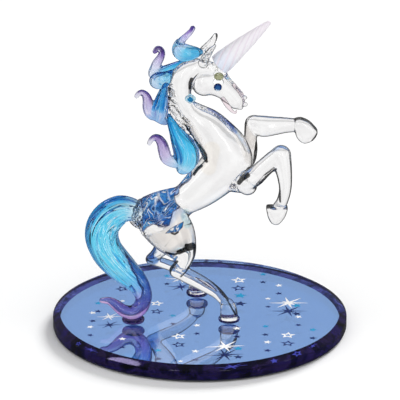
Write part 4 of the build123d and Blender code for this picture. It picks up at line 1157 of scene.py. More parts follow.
def star_prints(name, table, materials):
    """Thin enamel prints: the top face and the edge, and the face against the glass, which takes the second material.
    """
    verts, faces, slots = [], [], []
    for kind, x, y, r, turn in table:
        loops = [star_outline(kind, x, y, r, turn)]
        if kind == "outline":
            k = 0.50
            loops.append([(x + (px - x) * k, y + (py - y) * k) for px, py in loops[0]])
        n = len(loops[0])
        base = len(verts)
        for z in (PRINT_LOW, PRINT_HIGH):
            for loop in loops:
                verts += [(px, py, z) for px, py in loop]
            if len(loops) == 1:
                verts.append((x, y, z))
        half = (len(verts) - base) // 2
        for i in range(n):
            j = (i + 1) % n
            if len(loops) == 1:
                faces += [[base + half + i, base + half + j, base + half + n],
                          [base + j, base + i, base + n],
                          [base + i, base + j, base + half + j, base + half + i]]
                slots += [0, 1, 0]
            else:
                faces += [[base + half + i, base + half + j, base + half + n + j, base + half + n + i],
                          [base + j, base + i, base + n + i, base + n + j],
                          [base + i, base + j, base + half + j, base + half + i],
                          [base + n + j, base + n + i, base + half + n + i, base + half + n + j]]
                slots += [0, 1, 0, 0]
    return make_object(name, verts, faces, materials, smooth=False, face_slots=slots)


white_top = plain("white_print", grey(0.93), grey(0.99), 900, 0.35)
# the faces against the glass, seen in the mirror, are painted a dark blue shade (painted shade)
white_under_shade = plain("white_print_underside_shade", srgb(70, 84, 190), srgb(84, 98, 205), 900, 0.5)
blue_top = plain("cyan_print", srgb(26, 142, 196), srgb(44, 164, 212), 900, 0.35)
cyan_under_shade = plain("cyan_print_underside_shade", srgb(40, 56, 150), srgb(52, 70, 165), 900, 0.5)
put(star_prints("white_stars", WHITE_STARS, [white_top, white_under_shade]), "white_enamel", "white_star_prints")
put(star_prints("blue_stars", BLUE_STARS, [blue_top, cyan_under_shade]), "blue_enamel", "blue_star_prints")


def bevel_star_reflections(name, table, materials):
    """Painted reflections of the printed stars, laid on the bevel as thin marks: shape, azimuth
    from the front, distance down the slope, radius, stretch along the rim, turn."""
    fall = math.atan2(1.72, 2.90)
    verts, faces = [], []
    for kind, azimuth, down, r, stretch, turn in table:
        loops = [star_outline(kind, 0.0, 0.0, r, turn)]
        if kind == "outline":
            loops.append([(px * 0.5, py * 0.5) for px, py in loops[0]])
        n, base = len(loops[0]), len(verts)
        for lift in (0.006, 0.05):
            for loop in loops + ([[(0.0, 0.0)]] if len(loops) == 1 else []):
                for px, py in loop:
                    u = min(max(down - py, 0.12), 3.22)
                    rho = BASE_R - 2.93 + u * math.cos(fall) + lift * math.sin(fall)
                    a = math.radians(azimuth) + px * stretch / rho
                    verts.append((rho * math.sin(a), -rho * math.cos(a),
                                  TOP_Z - 0.05 - u * math.sin(fall) + lift * math.cos(fall)))
        half = (len(verts) - base) // 2
        for i in range(n):
            j = (i + 1) % n
            if len(loops) == 1:
                faces += [[base + half + i, base + half + j, base + half + n], [base + j, base + i, base + n],
                          [base + i, base + j, base + half + j, base + half + i]]
            else:
                faces += [[base + half + i, base + half + j, base + half + n + j, base + half + n + i],
                          [base + j, base + i, base + n + i, base + n + j],
                          [base + i, base + j, base + half + j, base + half + i],
                          [base + n + j, base + n + i, base + half + n + i, base + half + n + j]]
    return make_object(name, verts, faces, materials, smooth=False)


BEVEL_STAR_REFLECTIONS = [
    ("outline", -55.9, 2.1, 1.20, 1.3, 10), ("twinkle", -47.8, 2.0, 1.20, 3.4, 0),
    ("twinkle", 12.5, 1.8, 1.50, 4.6, 3), ("solid", 30.2, 2.1, 1.30, 1.5, -8),
    ("outline", 41.6, 1.75, 1.55, 1.8, 6), ("twinkle", 51.3, 1.2, 1.00, 2.8, 0),
]
# painted reflections of the top's stars in the bevel, in blue
reflection_blue = plain("bevel_reflection_paint", srgb(56, 62, 168), srgb(74, 80, 190), 300, 0.35)
put(bevel_star_reflections("bevel_star_reflections", BEVEL_STAR_REFLECTIONS, [reflection_blue]), "blue_enamel")


# ---------------------------------------------------- fused feet on the disc
def foot_glass(name, low, high):
    m, t, out = new_material(name)
    co = add(t, "ShaderNodeTexCoord").outputs["Object"]
    n = add(t, "ShaderNodeTexNoise", {"Vector": co, "Scale": 420.0, "Detail": 2.0, "Distortion": 1.0})
    c = ramp(t, n.outputs["Fac"], [(0.35, low), (0.62, high)])
    glass_shader(t, out, dark_edges(t, c, VIOLET_EDGE))
    return m


def foot_ring(name, x, y, r, z1, material, node):
    """A flattened gather of glass between the foot and the disc."""
    h = z1 - TOP_Z
    profile = [(0.0, TOP_Z + 0.01), (r * 0.93, TOP_Z + 0.01)]
    for k in range(9):
        a = -math.pi / 2 + math.pi * k / 8
        profile.append((r - h / 2 + h / 2 * math.cos(a) * 1.0, TOP_Z + 0.02 + h / 2 * (1 + math.sin(a)) * 0.98))
    profile.append((0.0, z1))
    ob = lathe(name, profile, 96, [material], x0=x, y0=y)
    put(ob, "adhesive", node)


def collar(name, x, y, inner, outer, z1, material):
    """A rounded ring of glass round the foot of a leg."""
    around, section = 96, 16
    rm, rw, zm, zw = (inner + outer) / 2, (outer - inner) / 2, (TOP_Z + 0.02 + z1) / 2, (z1 - TOP_Z - 0.02) / 2
    verts, faces = [], []
    for i in range(around):
        a = 2 * math.pi * i / around
        for j in range(section):
            b = 2 * math.pi * j / section
            rho = rm + rw * math.cos(b)
            verts.append((x + rho * math.cos(a), y + rho * math.sin(a), zm + zw * math.sin(b)))
    for i in range(around):
        for j in range(section):
            i2, j2 = (i + 1) % around, (j + 1) % section
            faces.append([i * section + j, i2 * section + j, i2 * section + j2, i * section + j2])
    ob = make_object(name, verts, faces, [material])
    check_outward(ob)
    put(ob, "adhesive")


purple_foot = foot_glass("violet_foot_glass", srgb(34, 18, 60), srgb(84, 60, 134))
foot_ring("tail_foot_ring", -28.6, -12.0, 4.9, 8.9, purple_foot, "tail_glue")
glue_film = foot_glass("clear_glue_film", srgb(206, 220, 244), srgb(232, 240, 252))
foot_ring("left_hind_glue_film", -1.2, 19.0, 3.9, 7.47, glue_film, "left_hind_glue")
foot_ring("right_hind_glue_film", 12.6, -11.0, 4.0, 7.47, glue_film, "right_hind_glue")
collar("left_hind_collar", -1.2, 19.0, 4.14, 4.72, 8.7, purple_foot)
collar("right_hind_collar", 12.6, -11.0, 4.24, 4.62, 8.4, purple_foot)


# ================================================================== mane
LOCK_1 = [
    (0.3, 4.0, 123.9, 1.27), (-1.6, 4.0, 123.8, 2.29), (-4.2, 4.0, 123.6, 3.23),
    (-6.7, 4.0, 123.7, 3.82, 0.95), (-8.5, 4.0, 124.6, 3.40, 0.95), (-9.0, 4.0, 126.3, 2.55),
    (-8.7, 4.0, 127.7, 2.08),
]
CURL_1 = [
    (-8.7, 4.0, 125.5, 1.82), (-8.3, 4.0, 127.4, 1.87), (-7.5, 4.0, 129.2, 1.57),
    (-6.1, 4.0, 130.7, 1.36), (-4.7, 4.0, 132.1, 1.27), (-3.6, 4.0, 133.4, 1.14),
    (-3.0, 4.0, 134.5, 1.19),
]
LOCK_2 = [
    (-5.9, 5.0, 119.4, 0.60), (-8.0, 5.0, 118.8, 1.02), (-11.8, 5.0, 117.0, 1.53),
    (-15.2, 5.0, 115.3, 1.96), (-18.0, 5.0, 114.1, 2.38), (-19.5, 5.0, 114.0, 2.38),
]
CURL_2 = [
    (-19.5, 5.0, 113.9, 1.96), (-19.2, 5.0, 115.9, 2.13), (-18.2, 5.0, 118.5, 2.04),
    (-16.8, 5.0, 120.9, 1.70), (-16.1, 5.0, 123.0, 1.44), (-16.7, 5.0, 124.7, 1.32),
    (-18.1, 5.0, 125.0, 1.23), (-19.1, 5.0, 123.8, 1.06),
]
LOCK_3 = [
    (-12.0, 3.0, 115.3, 1.10), (-13.5, 3.0, 113.5, 2.30), (-15.6, 3.0, 111.9, 3.49, 0.90),
    (-17.6, 3.0, 111.4, 3.74, 0.90), (-18.6, 3.0, 111.2, 2.81),
]
LOCK_4 = [
    (-14.8, 3.0, 109.9, 1.28), (-15.4, 3.0, 107.0, 1.83, 0.95), (-16.1, 3.0, 103.6, 2.68, 0.85),
    (-16.8, 3.0, 100.2, 3.49, 0.75), (-17.3, 3.0, 97.7, 3.96, 0.70),
]
CUP_4 = [
    (-14.5, 3.0, 92.3, 1.02), (-15.9, 3.0, 93.4, 1.88, 0.90), (-17.8, 3.0, 95.2, 2.47, 0.85),
    (-20.0, 3.0, 96.6, 2.13, 0.90),
]
CURL_4 = [
    (-20.4, 3.0, 95.4, 1.79), (-21.6, 3.0, 97.0, 2.13), (-22.2, 3.0, 99.7, 2.30, 0.95),
    (-22.2, 3.0, 102.4, 2.21, 0.95), (-23.0, 3.0, 104.7, 1.79), (-24.6, 3.0, 106.1, 1.32),
    (-26.1, 3.0, 105.6, 1.15), (-26.9, 3.0, 104.4, 1.11),
]
LOCK_5 = [
    (-13.3, 3.0, 95.7, 0.94), (-12.0, 3.0, 92.5, 2.05), (-10.2, 3.0, 88.4, 2.95, 0.95),
    (-8.2, 3.0, 84.2, 4.23, 0.85), (-6.2, 3.0, 80.0, 5.39, 0.72), (-5.6, 3.0, 76.3, 5.31, 0.70),
    (-6.2, 3.0, 73.4, 4.11, 0.72), (-7.4, 3.0, 71.5, 2.66, 0.80),
]
CURL_5 = [
    (-8.5, 3.0, 73.8, 1.88), (-11.5, 3.0, 74.4, 2.31), (-14.2, 3.0, 76.3, 2.61),
    (-15.3, 3.0, 79.5, 2.69, 0.95), (-16.0, 3.0, 82.4, 2.39, 0.95), (-17.5, 3.0, 85.0, 1.88),
    (-19.3, 3.0, 85.7, 1.41), (-20.8, 3.0, 84.6, 1.20), (-21.5, 3.0, 83.1, 1.11),
]

def lock_and_tip(lock, tip):
    """Joins stops, strengths or layers of a lock and its tip along their common length."""
    def half(stops, base):
        return [(base + 0.5 * p, v) for p, v in stops]
    return half(lock, 0.0) + half(tip, 0.5)


def on_lock(layers):
    return [(c, [(0.5 * p, v) for p, v in gate] + [(0.505, 0.0)]) for c, gate in layers]


def on_tip(layers):
    return [(c, [(0.495, 0.0)] + [(0.5 + 0.5 * p, v) for p, v in gate]) for c, gate in layers]


def threads(count, dark, light_share, dark_share, gate):
    """Fine pale and dark threads drawn along a lock."""
    return ((count, 0.026, srgb(236, 248, 254), [(0.0, light_share), (1.0, light_share)], gate),
            (count * 1.4, 0.018, dark, [(0.0, dark_share), (1.0, dark_share)], gate))


put(fused("mane_lock_1_glass", [LOCK_1], drawn_glass(
    "blue_bulb_glass",
    lock_and_tip([(0.0, srgb(60, 170, 222)), (0.30, srgb(84, 194, 238)), (0.55, srgb(110, 206, 242)),
                  (0.74, srgb(170, 210, 244)), (1.0, srgb(196, 210, 244))],
                 [(0.0, srgb(206, 218, 248)), (0.3, srgb(200, 206, 244)), (0.6, srgb(184, 170, 228)),
                  (0.84, srgb(150, 120, 200)), (0.95, srgb(80, 56, 146))]),
    on_lock([([(0.0, srgb(10, 96, 160), 1.0), (0.14, srgb(20, 120, 185), 0.9), (0.26, srgb(60, 170, 225), 0.0),
               (0.62, srgb(60, 170, 225), 0.0), (0.74, srgb(30, 136, 204), 0.8), (0.88, srgb(80, 190, 235), 0.0)],
              [(0.0, 1.0), (0.5, 0.9), (0.75, 0.0)])])
    + on_tip([([(0.0, srgb(90, 110, 200), 0.8), (0.12, srgb(120, 140, 215), 0.0)], [(0.0, 0.0), (0.3, 1.0)])]),
    light=[(0.40, srgb(160, 224, 248)), (0.52, srgb(238, 240, 252))],
    dark=[(0.40, srgb(30, 130, 200)), (0.52, srgb(100, 112, 196))],
    k_around=1.2, k_along=0.22, seed=1.0, light_share=(0.52, 0.62),
    lines=threads(3.0, srgb(20, 110, 180), 0.7, 0.6, [(0.0, 0.8), (1.0, 0.5)]), tip_edge=VIOLET_EDGE),
    cell=0.30, flutes=((5, 0.03, 0.4),), twist=0.12, tips=[CURL_1]), "blue_glass", "mane_lock_1", "mane_tip_1")

put(fused("mane_lock_2_glass", [LOCK_2], drawn_glass(
    "blue_arm_glass",
    lock_and_tip([(0.0, srgb(30, 140, 205)), (0.4, srgb(60, 178, 232)), (0.66, srgb(100, 198, 240)),
                  (0.84, srgb(170, 208, 242)), (1.0, srgb(204, 220, 244))],
                 [(0.0, srgb(222, 232, 250)), (0.22, srgb(224, 226, 248)), (0.48, srgb(196, 184, 226)),
                  (0.62, srgb(120, 96, 176)), (0.72, srgb(58, 36, 110)), (0.9, srgb(50, 30, 100)),
                  (1.0, srgb(96, 74, 150))]),
    on_lock([([(0.0, srgb(10, 84, 160), 1.0), (0.2, srgb(16, 110, 190), 0.9), (0.36, srgb(60, 170, 225), 0.0),
               (0.86, srgb(60, 170, 225), 0.0), (0.96, srgb(16, 96, 170), 0.9)],
              [(0.0, 1.0), (0.7, 1.0), (0.9, 0.1)])])
    + on_tip([([(0.0, srgb(110, 150, 220), 0.8), (0.14, srgb(150, 180, 232), 0.0)],
               [(0.0, 0.2), (0.2, 1.0), (0.5, 0.4), (0.6, 0.0)])]),
    light=[(0.40, srgb(150, 220, 246)), (0.52, srgb(240, 242, 250))],
    k_around=1.3, k_along=0.16, seed=2.0, light_share=(0.52, 0.64),
    lines=threads(3.0, srgb(12, 86, 160), 0.8, 0.8, [(0.0, 1.0), (0.45, 0.8), (0.7, 0.4), (0.8, 0.0)]),
    tip_edge=VIOLET_EDGE),
    cell=0.30, k=1.2, flutes=((4, 0.05, 1.2),), twist=0.05, tips=[CURL_2]), "blue_glass", "mane_lock_2", "mane_tip_2")

put(fused("mane_lock_3_glass", [LOCK_3], drawn_glass(
    "sky_bulb_glass",
    [(0.0, srgb(60, 170, 225)), (0.35, srgb(120, 204, 242)), (0.8, srgb(164, 216, 244)), (1.0, srgb(196, 220, 244))],
    [([(0.0, srgb(24, 110, 180), 0.8), (0.12, srgb(60, 170, 225), 0.0), (0.80, srgb(60, 170, 225), 0.0),
       (0.93, srgb(20, 70, 140), 0.95)], [(0.0, 0.8), (1.0, 1.0)])],
    light=srgb(206, 236, 250), dark=srgb(40, 134, 204), k_around=1.3, k_along=0.30, seed=3.0,
    light_share=(0.54, 0.66), dark_share=(0.38, 0.30), bump=0.06,
    lines=threads(2.4, srgb(24, 90, 160), 0.7, 0.6, [(0.0, 1.0), (1.0, 0.6)])),
    flutes=((5, 0.05, 0.0),), twist=0.3), "blue_glass", "mane_lock_3")

put(fused("mane_lock_4_glass", [LOCK_4, CUP_4], drawn_glass(
    "deep_fan_glass",
    lock_and_tip([(0.0, srgb(40, 150, 215)), (0.35, srgb(24, 124, 200)), (0.88, srgb(20, 112, 196)),
                  (0.95, srgb(60, 150, 214)), (1.0, srgb(120, 180, 230))],
                 [(0.0, srgb(160, 196, 238)), (0.15, srgb(196, 200, 236)), (0.5, srgb(200, 186, 228)),
                  (0.75, srgb(176, 156, 212)), (0.9, srgb(226, 222, 238)), (1.0, srgb(236, 236, 244))]),
    on_lock([([(0.02, srgb(70, 175, 230), 0.8), (0.16, srgb(20, 110, 195), 0.0), (0.36, srgb(14, 96, 180), 0.7),
               (0.50, srgb(70, 178, 232), 0.8), (0.62, srgb(20, 110, 195), 0.0), (0.82, srgb(50, 150, 220), 0.7),
               (0.91, srgb(14, 50, 130), 1.0)],
              [(0.0, 0.6), (0.3, 1.0), (0.92, 1.0), (1.0, 0.4)])])
    + on_tip([([(0.03, srgb(40, 22, 90), 1.0), (0.22, srgb(60, 36, 120), 1.0), (0.40, srgb(120, 96, 180), 0.0),
                (0.84, srgb(120, 96, 180), 0.0), (0.95, srgb(60, 40, 120), 0.9)],
              [(0.0, 0.0), (0.38, 0.0), (0.54, 1.0), (0.88, 1.0), (0.95, 0.0)])]),
    light=[(0.45, srgb(60, 165, 226)), (0.52, srgb(238, 232, 248))],
    dark=[(0.45, srgb(8, 70, 150)), (0.52, srgb(140, 130, 200))],
    k_around=1.9, k_along=0.12, seed=4.0, light_share=(0.52, 0.64),
    lines=threads(4.0, srgb(8, 48, 124), 0.8, 0.9, [(0.0, 1.0), (0.46, 0.9), (0.52, 0.2), (0.9, 0.4)]),
    tip_edge=VIOLET_EDGE),
    flutes=((6, 0.045, 0.6),), twist=0.04, tips=[CURL_4]), "blue_glass", "mane_lock_4", "mane_tip_4")

put(fused("mane_lock_5_glass", [LOCK_5], drawn_glass(
    "cyan_leaf_glass",
    lock_and_tip([(0.0, srgb(36, 150, 216)), (0.3, srgb(52, 178, 234)), (0.65, srgb(76, 200, 246)),
                  (0.88, srgb(120, 212, 246)), (1.0, srgb(186, 224, 246))],
                 [(0.0, srgb(150, 204, 240)), (0.16, srgb(196, 216, 242)), (0.36, srgb(206, 194, 230)),
                  (0.62, srgb(190, 172, 218)), (0.80, srgb(150, 124, 190)), (0.92, srgb(226, 222, 238)),
                  (1.0, srgb(236, 236, 244))]),
    on_lock([([(0.02, srgb(24, 120, 190), 1.0), (0.13, srgb(16, 104, 180), 1.0), (0.20, srgb(120, 205, 240), 0.8),
               (0.25, srgb(12, 70, 150), 1.0), (0.33, srgb(10, 90, 170), 0.95), (0.42, srgb(40, 170, 230), 0.0),
               (0.90, srgb(40, 170, 230), 0.0), (0.97, srgb(16, 96, 170), 0.9)],
              [(0.0, 0.7), (0.2, 1.0), (0.82, 1.0), (0.97, 0.3)])])
    + on_tip([([(0.03, srgb(40, 22, 90), 1.0), (0.24, srgb(60, 36, 120), 1.0), (0.44, srgb(120, 96, 180), 0.0),
                (0.84, srgb(120, 96, 180), 0.0), (0.95, srgb(60, 40, 120), 0.9)],
              [(0.0, 0.0), (0.44, 0.0), (0.58, 1.0), (0.90, 1.0), (0.96, 0.0)])]),
    light=[(0.45, srgb(140, 222, 250)), (0.54, srgb(238, 236, 248))],
    dark=[(0.45, srgb(24, 130, 204)), (0.54, srgb(100, 140, 210))],
    k_around=1.1, k_along=0.08, seed=5.0, light_share=(0.56, 0.72),
    lines=threads(4.0, srgb(14, 96, 176), 0.7, 0.7, [(0.0, 1.0), (0.46, 0.9), (0.55, 0.3), (0.9, 0.4)]),
    tip_edge=VIOLET_EDGE),
    cell=0.34, flutes=((3, 0.03, 0.3),), twist=0.03, tips=[CURL_5]), "blue_glass", "mane_lock_5", "mane_tip_5")


# ================================================================== tail
TAIL = [
    (-24.6, 1.6, 51.0, 3.80), (-27.4, 1.0, 52.8, 4.40), (-30.4, 0.0, 54.2, 5.15),
    (-34.2, -1.0, 54.3, 6.00), (-38.3, -3.0, 52.3, 6.60), (-41.1, -5.0, 48.6, 7.00),
    (-41.8, -7.0, 44.0, 7.07), (-40.2, -9.0, 39.2, 6.85), (-36.8, -10.0, 34.6, 6.64),
    (-32.5, -11.0, 30.3, 6.00), (-28.2, -12.0, 26.4, 5.14), (-25.4, -12.0, 22.4, 4.35),
    (-24.2, -12.0, 17.8, 3.65), (-25.6, -12.0, 13.4, 3.40), (-29.0, -12.0, 11.2, 3.10),
    (-32.8, -12.0, 12.0, 2.70), (-36.0, -12.0, 14.6, 2.30), (-39.0, -12.0, 16.5, 1.72),
    (-42.0, -12.0, 16.7, 1.15),
]


def tail_shape(th, s, t):
    """Drawn-out flutes that fade into the violet curl."""
    fade = np.clip((0.66 - t) / 0.16, 0, 1) * np.clip((t + 0.02) / 0.06, 0, 1)
    u = th + 0.012 * s
    return (1 + fade * (0.045 * np.cos(5 * u + 0.4) + 0.026 * np.cos(9 * u + 1.3)
                        + 0.010 * np.cos(16 * u + 2.1)))


# HIGHLIGHT_STREAK colours the painted highlight streaks on the tail
HIGHLIGHT_STREAK, NAVY = srgb(240, 250, 254), srgb(14, 34, 104)
tail_glass = drawn_glass(
    "tail_glass",
    [(0.0, srgb(232, 242, 248)), (0.06, srgb(206, 234, 246)), (0.12, srgb(134, 216, 242)), (0.20, srgb(84, 206, 242)),
     (0.45, srgb(104, 216, 246)), (0.56, srgb(92, 200, 242)), (0.62, srgb(108, 182, 236)), (0.67, srgb(124, 158, 224)),
     (0.71, srgb(134, 134, 208)), (0.76, srgb(150, 124, 200)), (0.82, srgb(164, 128, 200)), (0.9, srgb(176, 130, 198)), (1.0, srgb(222, 190, 226))],
    [([(0.0, srgb(10, 92, 170), 1.0), (0.07, srgb(16, 116, 196), 1.0), (0.12, srgb(30, 140, 214), 0.9),
       (0.17, srgb(60, 180, 232), 0.4), (0.24, srgb(90, 205, 242), 0.0), (0.84, srgb(90, 205, 242), 0.0),
       (0.93, srgb(30, 110, 180), 0.7), (1.0, srgb(14, 60, 130), 0.9)],
      [(0.0, 0.2), (0.06, 0.6), (0.12, 1.0), (0.44, 0.9), (0.55, 0.3), (0.61, 0.0)]),
     ([(0.78, srgb(24, 72, 176), 0.0), (0.88, srgb(30, 84, 180), 0.8), (0.95, srgb(18, 42, 120), 1.0),
       (1.0, srgb(12, 22, 80), 1.0)],
      [(0.40, 0.0), (0.52, 0.8), (0.70, 1.0), (0.82, 0.4), (0.94, 0.0)]),
     # the curl, with a white-pink painted highlight streak inside the bend
     ([(0.0, srgb(50, 26, 92), 1.0), (0.07, srgb(118, 86, 166), 1.0), (0.16, srgb(160, 126, 198), 0.9),
       (0.215, srgb(168, 134, 204), 0.9), (0.24, srgb(255, 246, 255), 1.0), (0.29, srgb(255, 246, 255), 1.0),
       (0.32, srgb(170, 136, 204), 0.8), (0.50, srgb(174, 140, 206), 0.4), (0.74, srgb(150, 114, 192), 0.6),
       (0.87, srgb(90, 58, 140), 1.0), (0.96, srgb(30, 14, 60), 1.0)],
      [(0.70, 0.0), (0.83, 1.0), (0.93, 0.9), (1.0, 0.2)]),
     ([(0.74, srgb(200, 140, 200), 0.0), (0.86, srgb(222, 164, 214), 0.95), (0.94, srgb(120, 70, 150), 1.0)],
      [(0.80, 0.0), (0.85, 1.0), (0.97, 1.0)])],
    light=srgb(206, 242, 252), dark=srgb(30, 130, 208), k_around=2.6, k_along=0.03,
    light_share=(0.56, 0.70), dark_share=(0.36, 0.28), bump=0.12,
    # lines: white painted highlight streaks, then navy and blue threads
    lines=((5.0, 0.042, HIGHLIGHT_STREAK, [(0.10, 0.3), (0.25, 0.9), (0.75, 1.0), (0.9, 0.4)],
            [(0.02, 0.3), (0.10, 0.9), (0.62, 0.9), (0.70, 0.4)]),
           (6.5, 0.020, srgb(18, 66, 150), [(0.05, 0.4), (0.30, 0.25), (0.60, 0.5), (0.72, 1.0)],
            [(0.03, 0.2), (0.12, 0.8), (0.60, 0.9), (0.68, 0.0)]),
           (9.0, 0.022, srgb(20, 150, 214), [(0.2, 0.6), (0.8, 0.8)], [(0.05, 0.2), (0.15, 0.8), (0.6, 0.7), (0.66, 0.0)])))
tail = tube("tail_glass_body", TAIL, [tail_glass], around=160, step=0.45, shape=tail_shape)
put(tail, "aqua_glass", "tail", "tail_curl")


# ================================================================== horn
HORN = [
    (8.3, 3.0, 118.6, 4.67), (11.1, 3.0, 121.1, 4.63), (14.9, 3.0, 124.6, 4.07),
    (19.2, 3.0, 128.4, 3.39), (23.4, 3.0, 132.1, 2.50), (26.8, 3.0, 135.2, 1.69),
    (29.1, 3.0, 137.2, 1.02),
]
HORN_FLUTES = 8
_q = smooth_chain(HORN, 0.25)
_s = np.concatenate([[0], np.cumsum(np.linalg.norm(np.diff(_q[:, :3], axis=0), axis=1))])
_turn = np.concatenate([[0], np.cumsum(0.55 / ((_q[1:, 3] + _q[:-1, 3]) / 2) * np.diff(_s))])


def horn_turn(s):
    return np.interp(s, _s, _turn)


def horn_shape(th, s, t):
    u = HORN_FLUTES * (th - horn_turn(s))
    return 1 - 0.045 * (0.5 - 0.5 * np.cos(u)) ** 3


def horn_material():
    m, t, out = new_material("frosted_horn_glass")
    along = attribute(t, "along")
    c = ramp(t, along, [(0.0, srgb(228, 236, 251)), (0.12, srgb(234, 239, 251)), (0.34, srgb(248, 246, 251)),
                        (1.0, srgb(250, 243, 250))])
    # the grooves painted darker and pinker: painted shade in the flutes
    c = mix_colour(t, attribute(t, "groove_shade"), c, srgb(240, 230, 241))
    n = add(t, "ShaderNodeTexNoise", {"Scale": 900.0, "Detail": 3.0})
    b = add(t, "ShaderNodeBump", {"Strength": 0.12, "Distance": 0.0002, "Height": n.outputs["Fac"]})
    p = add(t, "ShaderNodeBsdfPrincipled",
            {"Base Color": c, "Roughness": 0.5, "Transmission Weight": 0.06, "IOR": 1.45,
             "Normal": b.outputs[0]})
    t.links.new(p.outputs[0], out.inputs["Surface"])
    return m


horn = tube("horn_frosted", HORN, [horn_material()], around=144, step=0.25, shape=horn_shape,
            start_dome=0.12, end_dome=0.9)
flow = np.zeros(len(horn.data.vertices) * 3, np.float32)
horn.data.attributes["flow"].data.foreach_get("vector", flow)
flow = flow.reshape(-1, 3)
ang = HORN_FLUTES * (np.arctan2(flow[:, 1], flow[:, 0]) - horn_turn(flow[:, 2]))
float_attribute(horn, "groove_shade", np.clip(0.5 - 0.5 * np.cos(ang), 0, 1) ** 5)
put(horn, "frosted_glass", "horn")


# ================================================================== face
def gem(name, x, y, z, rx, rz, height, facing, rings, sides, tones, materials, turn=0.0):
    """A flat-backed cut stone set on the side of the head. facing is -1 or 1 along Y;
    rings are (size, height) from the girdle to the table."""
    verts, faces, slots, tone = [], [], [], []
    levels = [(0.96, -0.35)] + list(rings)
    for k, (size, h) in enumerate(levels):
        for i in range(sides):
            a = 2 * math.pi * (i + (0.5 if k % 2 == 0 else 0.0)) / sides + turn
            verts.append((x + rx * size * math.cos(a), y + facing * height * h, z + rz * size * math.sin(a)))
    for k in range(len(levels) - 1):
        for i in range(sides):
            a0, a1 = k * sides + i, k * sides + (i + 1) % sides
            if k % 2 == 0:
                b0, b1 = (k + 1) * sides + i, (k + 1) * sides + (i + 1) % sides
                tris = [[a0, b1, b0], [a0, a1, b1]]
            else:
                b0, b1 = (k + 1) * sides + (i - 1) % sides, (k + 1) * sides + i
                tris = [[a0, b1, b0], [a0, a1, b1]]
            for f_ in tris:
                faces.append(f_)
                slots.append(0)
                tone.append(tones(k, 2 * math.pi * (i + 0.5) / sides + turn, len(faces) % 2))
    last = (len(levels) - 1) * sides
    faces.append(list(range(last, last + sides)))
    slots.append(0)
    tone.append(tones(9, 0.0, 0))
    faces.append(list(range(sides))[::-1])
    slots.append(1)
    tone.append(0.5)
    ob = make_object(name, verts, faces, materials, smooth=False, face_slots=slots)
    at = ob.data.attributes.new("facet", "FLOAT", "FACE")
    at.data.foreach_set("value", np.array(tone, np.float32))
    check_outward(ob)
    return ob


def crystal(name, stops):
    """Foil-backed crystal with a painted reflection: every facet has its own fixed tone."""
    m, t, out = new_material(name)
    n = add(t, "ShaderNodeTexNoise", {"Scale": 1500.0, "Detail": 2.0})
    f = math_node(t, "MULTIPLY_ADD", n.outputs["Fac"], 0.10, attribute(t, "facet"))
    f = math_node(t, "SUBTRACT", f, 0.05)
    c = ramp(t, f, stops)
    p = add(t, "ShaderNodeBsdfPrincipled", {"Base Color": c, "Roughness": 0.06, "IOR": 1.55})
    t.links.new(p.outputs[0], out.inputs["Surface"])
    return m


# the foil backs glow a little, painted light that keeps the far stones pale through the head
glowing_foil = plain("glowing_gem_foil", grey(0.93), grey(0.98), 900, 0.6, **{"Emission Color": (1, 1, 1, 1), "Emission Strength": 0.5})
eye_crystal = crystal("eye_crystal", [(0.0, srgb(8, 20, 62)), (0.35, srgb(18, 56, 122)), (0.6, srgb(50, 104, 160)),
                                      (0.85, srgb(124, 178, 214)), (1.0, srgb(226, 240, 248))])
brow_crystal = crystal("brow_crystal", [(0.0, srgb(112, 116, 84)), (0.35, srgb(150, 152, 118)),
                                        (0.65, srgb(182, 184, 152)), (1.0, srgb(224, 226, 208))])
EYE_RINGS = [(1.0, 0.05), (0.86, 0.55), (0.55, 0.92)]
STONE_RINGS = [(1.0, 0.15), (0.80, 0.72), (0.56, 1.0)]


def eye_tone(k, a, odd):
    """A dark rim, a blue heart and one bright glint low on the stone."""
    if k == 9:
        return 0.50
    glint = math.cos(a - 4.3)
    if k <= 1:
        return 0.02 + 0.10 * max(glint, 0)
    return 0.98 if glint > 0.80 else 0.20 + 0.35 * max(glint, 0) + 0.10 * odd


def stone_tone(k, a, odd):
    """Olive facets with painted reflections, light and dark by turns."""
    if k == 9:
        return 0.52
    return (0.12 if odd else 0.62) + 0.26 * math.cos(3 * a + k)


for side, word in ((-1, "right"), (1, "left")):
    put(gem(f"{word}_eye_crystal", 7.65, SIDE_Y + side * 3.05, 109.5, 1.80, 1.85, 0.9, side, EYE_RINGS, 10,
            eye_tone, [eye_crystal, glowing_foil]), "blue_crystal", f"{word}_eye")
    put(gem(f"{word}_brow_crystal", 8.1, SIDE_Y + side * 2.75, 114.2, 2.15, 1.90, 0.9, side, STONE_RINGS, 8,
            stone_tone, [brow_crystal, glowing_foil], turn=0.3),
        "gold_crystal", f"{word}_brow_stone")

bead_blue = plain("bead_turquoise", srgb(8, 100, 156), srgb(22, 136, 190), 700, 0.1)
halo = foot_glass("bead_casing_glass", srgb(190, 236, 250), srgb(214, 244, 252))
put(tube("cheek_bead_core", [(-4.05, -1.55, 103.75, 0.60), (-4.05, -1.6, 104.1, 1.15), (-4.05, -1.6, 104.55, 1.38),
                             (-4.05, -1.6, 105.0, 1.15), (-4.05, -1.55, 105.35, 0.60)],
         [bead_blue], around=40, step=0.1, end_dome=0.5, start_dome=0.5), "turquoise_glass", "cheek_bead")
put(tube("cheek_bead_casing", [(-4.05, -0.5, 102.75, 0.8, 0.5), (-4.05, -0.5, 103.5, 1.95, 0.5),
                               (-4.05, -0.5, 104.5, 2.35, 0.5), (-4.05, -0.5, 105.5, 1.95, 0.5),
                               (-4.05, -0.5, 106.25, 0.8, 0.5)],
         [halo], around=48, step=0.12, end_dome=0.5, start_dome=0.5), "turquoise_glass")

